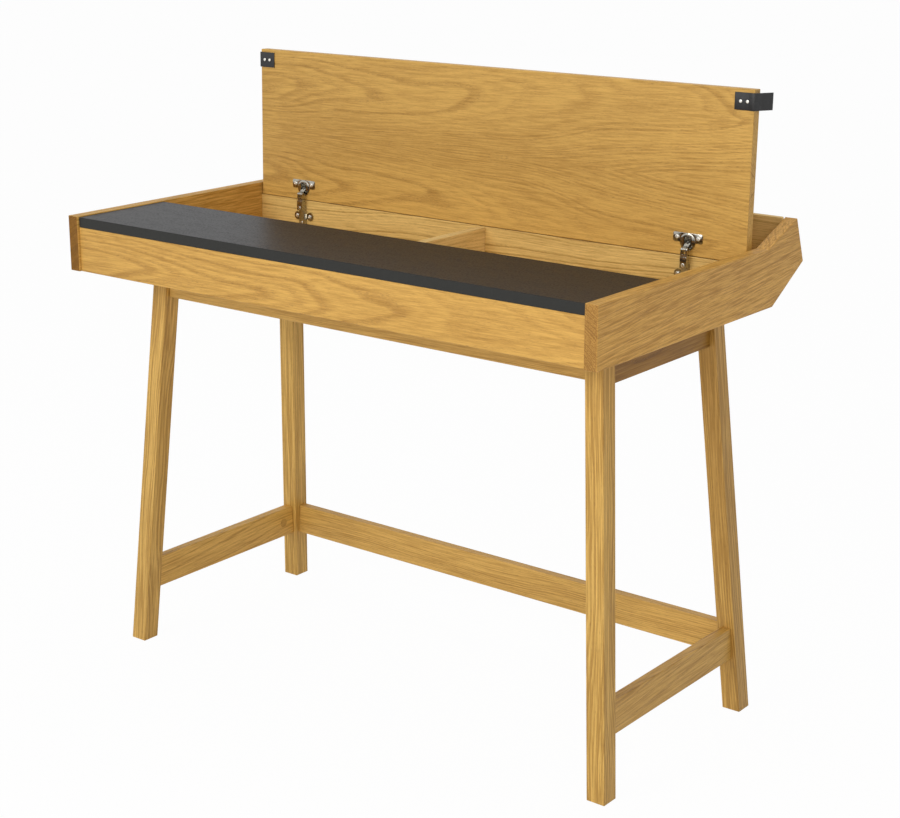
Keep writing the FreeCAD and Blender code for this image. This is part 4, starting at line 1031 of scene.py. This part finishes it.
class DESK_OT_stage(Operator):
    """Set up the floor, the light and the camera"""

    bl_idname = "flap_desk.stage"
    bl_label = "Studio"

    def execute(self, context):
        scene = context.scene
        scene.view_settings.view_transform = "Standard"
        self.floor(scene)
        self.world(scene)
        self.lamp("key_light", at=(-0.8, -4.3, 2.6), target=(0, 0, 0.6), size=2.6, power=97.0)
        self.lamp("fill_light", at=(3.0, -1.6, 2.4), target=(0.3, 0, 0.6), size=1.8, power=4.0,
                  tone=(1.0, 0.9, 0.76))
        self.lamp("side_light", at=(1.95, -2.3, 1.5), target=(0.4, 0.2, 0.75), size=0.9, power=21.0,
                  tone=(1.0, 0.93, 0.82))
        self.lamp("top_light", at=(0.3, 0.7, 3.5), target=(0.1, 0.1, 0.7), size=2.2, power=15.0)
        self.camera(scene)
        return {"FINISHED"}

    @staticmethod
    def seen_directly(tree):
        """1 where the camera, a mirror or glass looks at the background, and 0 for light."""
        path = add_node(tree, "ShaderNodeLightPath")
        seen = maths(tree, "MAXIMUM", path.outputs["Is Camera Ray"], path.outputs["Is Glossy Ray"])
        return maths(tree, "MAXIMUM", seen, path.outputs["Is Transmission Ray"])

    def floor(self, scene):
        """Wide floor under the desk."""
        floor_size = 80.0
        deselect()
        bpy.ops.mesh.primitive_plane_add(size=floor_size, location=(0, 0, 0))
        floor = bpy.context.object
        floor.name = "studio_floor"
        self.floor_material(scene.flap_desk_colours.floor)
        floor.data.materials.append(bpy.data.materials["pale_floor"])

    def floor_material(self, tone):
        """Pale floor that is nearly white where it is seen, and still shows the shadow."""
        patch_tone, white_share = 0.97, 0.97
        tree, shader = new_material("pale_floor")
        place = add_node(tree, "ShaderNodeTexCoord").outputs["Object"]
        cloud = noise(tree, place, (0.6, 0.6, 0.6), 2.0).outputs["Fac"]
        body = mix_colour(tree, cloud, rgba(tone), rgba([value * patch_tone for value in tone]))
        fill(tree, shader, {"Base Color": body, "Roughness": 0.9})
        glow = add_node(tree, "ShaderNodeEmission", {"Color": (1, 1, 1, 1), "Strength": 1.0})
        share = maths(tree, "MULTIPLY", self.seen_directly(tree), white_share)
        mixed = add_node(tree, "ShaderNodeMixShader", {0: share, 1: shader.outputs[0], 2: glow.outputs[0]})
        leave = next(node for node in tree.nodes if node.type == "OUTPUT_MATERIAL")
        fill(tree, leave, {"Surface": mixed.outputs[0]})

    def world(self, scene):
        """White background that lights the desk at a lower level than it is seen at."""
        light_level = 0.4
        world = bpy.data.worlds.new("white_studio")
        world.use_nodes = True
        tree = world.node_tree
        shade = next(node for node in tree.nodes if node.type == "BACKGROUND")
        level = ramp_value(tree, self.seen_directly(tree), 0.0, 1.0, light_level, 1.0)
        fill(tree, shade, {"Color": (1.0, 1.0, 1.0, 1.0), "Strength": level})
        scene.world = world

    @staticmethod
    def lamp(name, at, target, size, power, tone=(1.0, 1.0, 1.0)):
        """Square lamp of a size in metres and a power in watts, turned to a target."""
        light = bpy.data.lights.new(name, "AREA")
        light.shape = "SQUARE"
        light.size = size
        light.energy = power
        light.color = tone
        lamp = bpy.data.objects.new(name, light)
        bpy.context.scene.collection.objects.link(lamp)
        lamp.location = at
        lamp.rotation_euler = (Vector(target) - Vector(at)).to_track_quat("-Z", "Y").to_euler()

    @staticmethod
    def camera(scene):
        """Camera at the place that the desk's edges in the picture give."""
        picture_width, picture_height = 900, 818
        azimuth, elevation, roll = math.radians(37.851), math.radians(15.546), math.radians(0.103)
        focal, principal = 1852.63, (452.457, 379.506)
        data = bpy.data.cameras.new("photo_camera")
        data.sensor_fit = "HORIZONTAL"
        data.sensor_width = 36.0
        data.lens = focal * data.sensor_width / picture_width
        data.shift_x = (picture_width / 2 - principal[0]) / picture_width
        data.shift_y = (principal[1] - picture_height / 2) / picture_width
        data.clip_end = 100.0
        camera = bpy.data.objects.new("photo_camera", data)
        scene.collection.objects.link(camera)
        camera.location = (1.749188, -2.182275, 1.272762)
        back = Vector((math.sin(azimuth) * math.cos(elevation), -math.cos(azimuth) * math.cos(elevation),
                       math.sin(elevation)))
        turn = (-back).to_track_quat("-Z", "Y").to_matrix() @ Matrix.Rotation(roll, 3, "Z")
        camera.rotation_euler = turn.to_euler()
        scene.camera = camera


class DESK_PT_sidebar(Panel):
    """Lists what dresses the flap desk"""

    bl_label = "Flap Desk"
    bl_space_type = "VIEW_3D"
    bl_region_type = "UI"
    bl_category = "Flap Desk"

    def draw(self, context):
        for operator in OPERATORS:
            self.layout.operator(operator.bl_idname)
        for group in (context.scene.flap_desk_sizes, context.scene.flap_desk_colours):
            for name in group.bl_rna.properties.keys():
                if name not in ("rna_type", "name"):
                    self.layout.prop(group, name)


OPERATORS = (
    DESK_OT_finishes,
    DESK_OT_oak,
    DESK_OT_wall_bead,
    DESK_OT_strip,
    DESK_OT_wing_plates,
    DESK_OT_arms,
    DESK_OT_cups,
    DESK_OT_link_plates,
    DESK_OT_fasteners,
    DESK_OT_pull_tabs,
    DESK_OT_stage,
)
CLASSES = (FlapDeskSizes, FlapDeskColours, *OPERATORS, DESK_PT_sidebar)


def register():
    for item in CLASSES:
        bpy.utils.register_class(item)
    bpy.types.Scene.flap_desk_sizes = PointerProperty(type=FlapDeskSizes)
    bpy.types.Scene.flap_desk_colours = PointerProperty(type=FlapDeskColours)


def unregister():
    del bpy.types.Scene.flap_desk_colours
    del bpy.types.Scene.flap_desk_sizes
    for item in reversed(CLASSES):
        bpy.utils.unregister_class(item)


def main():
    """Dress the desk."""
    register()
    for operator in OPERATORS:
        group, name = operator.bl_idname.split(".")
        getattr(getattr(bpy.ops, group), name)()


if __name__ == "__main__":
    main()
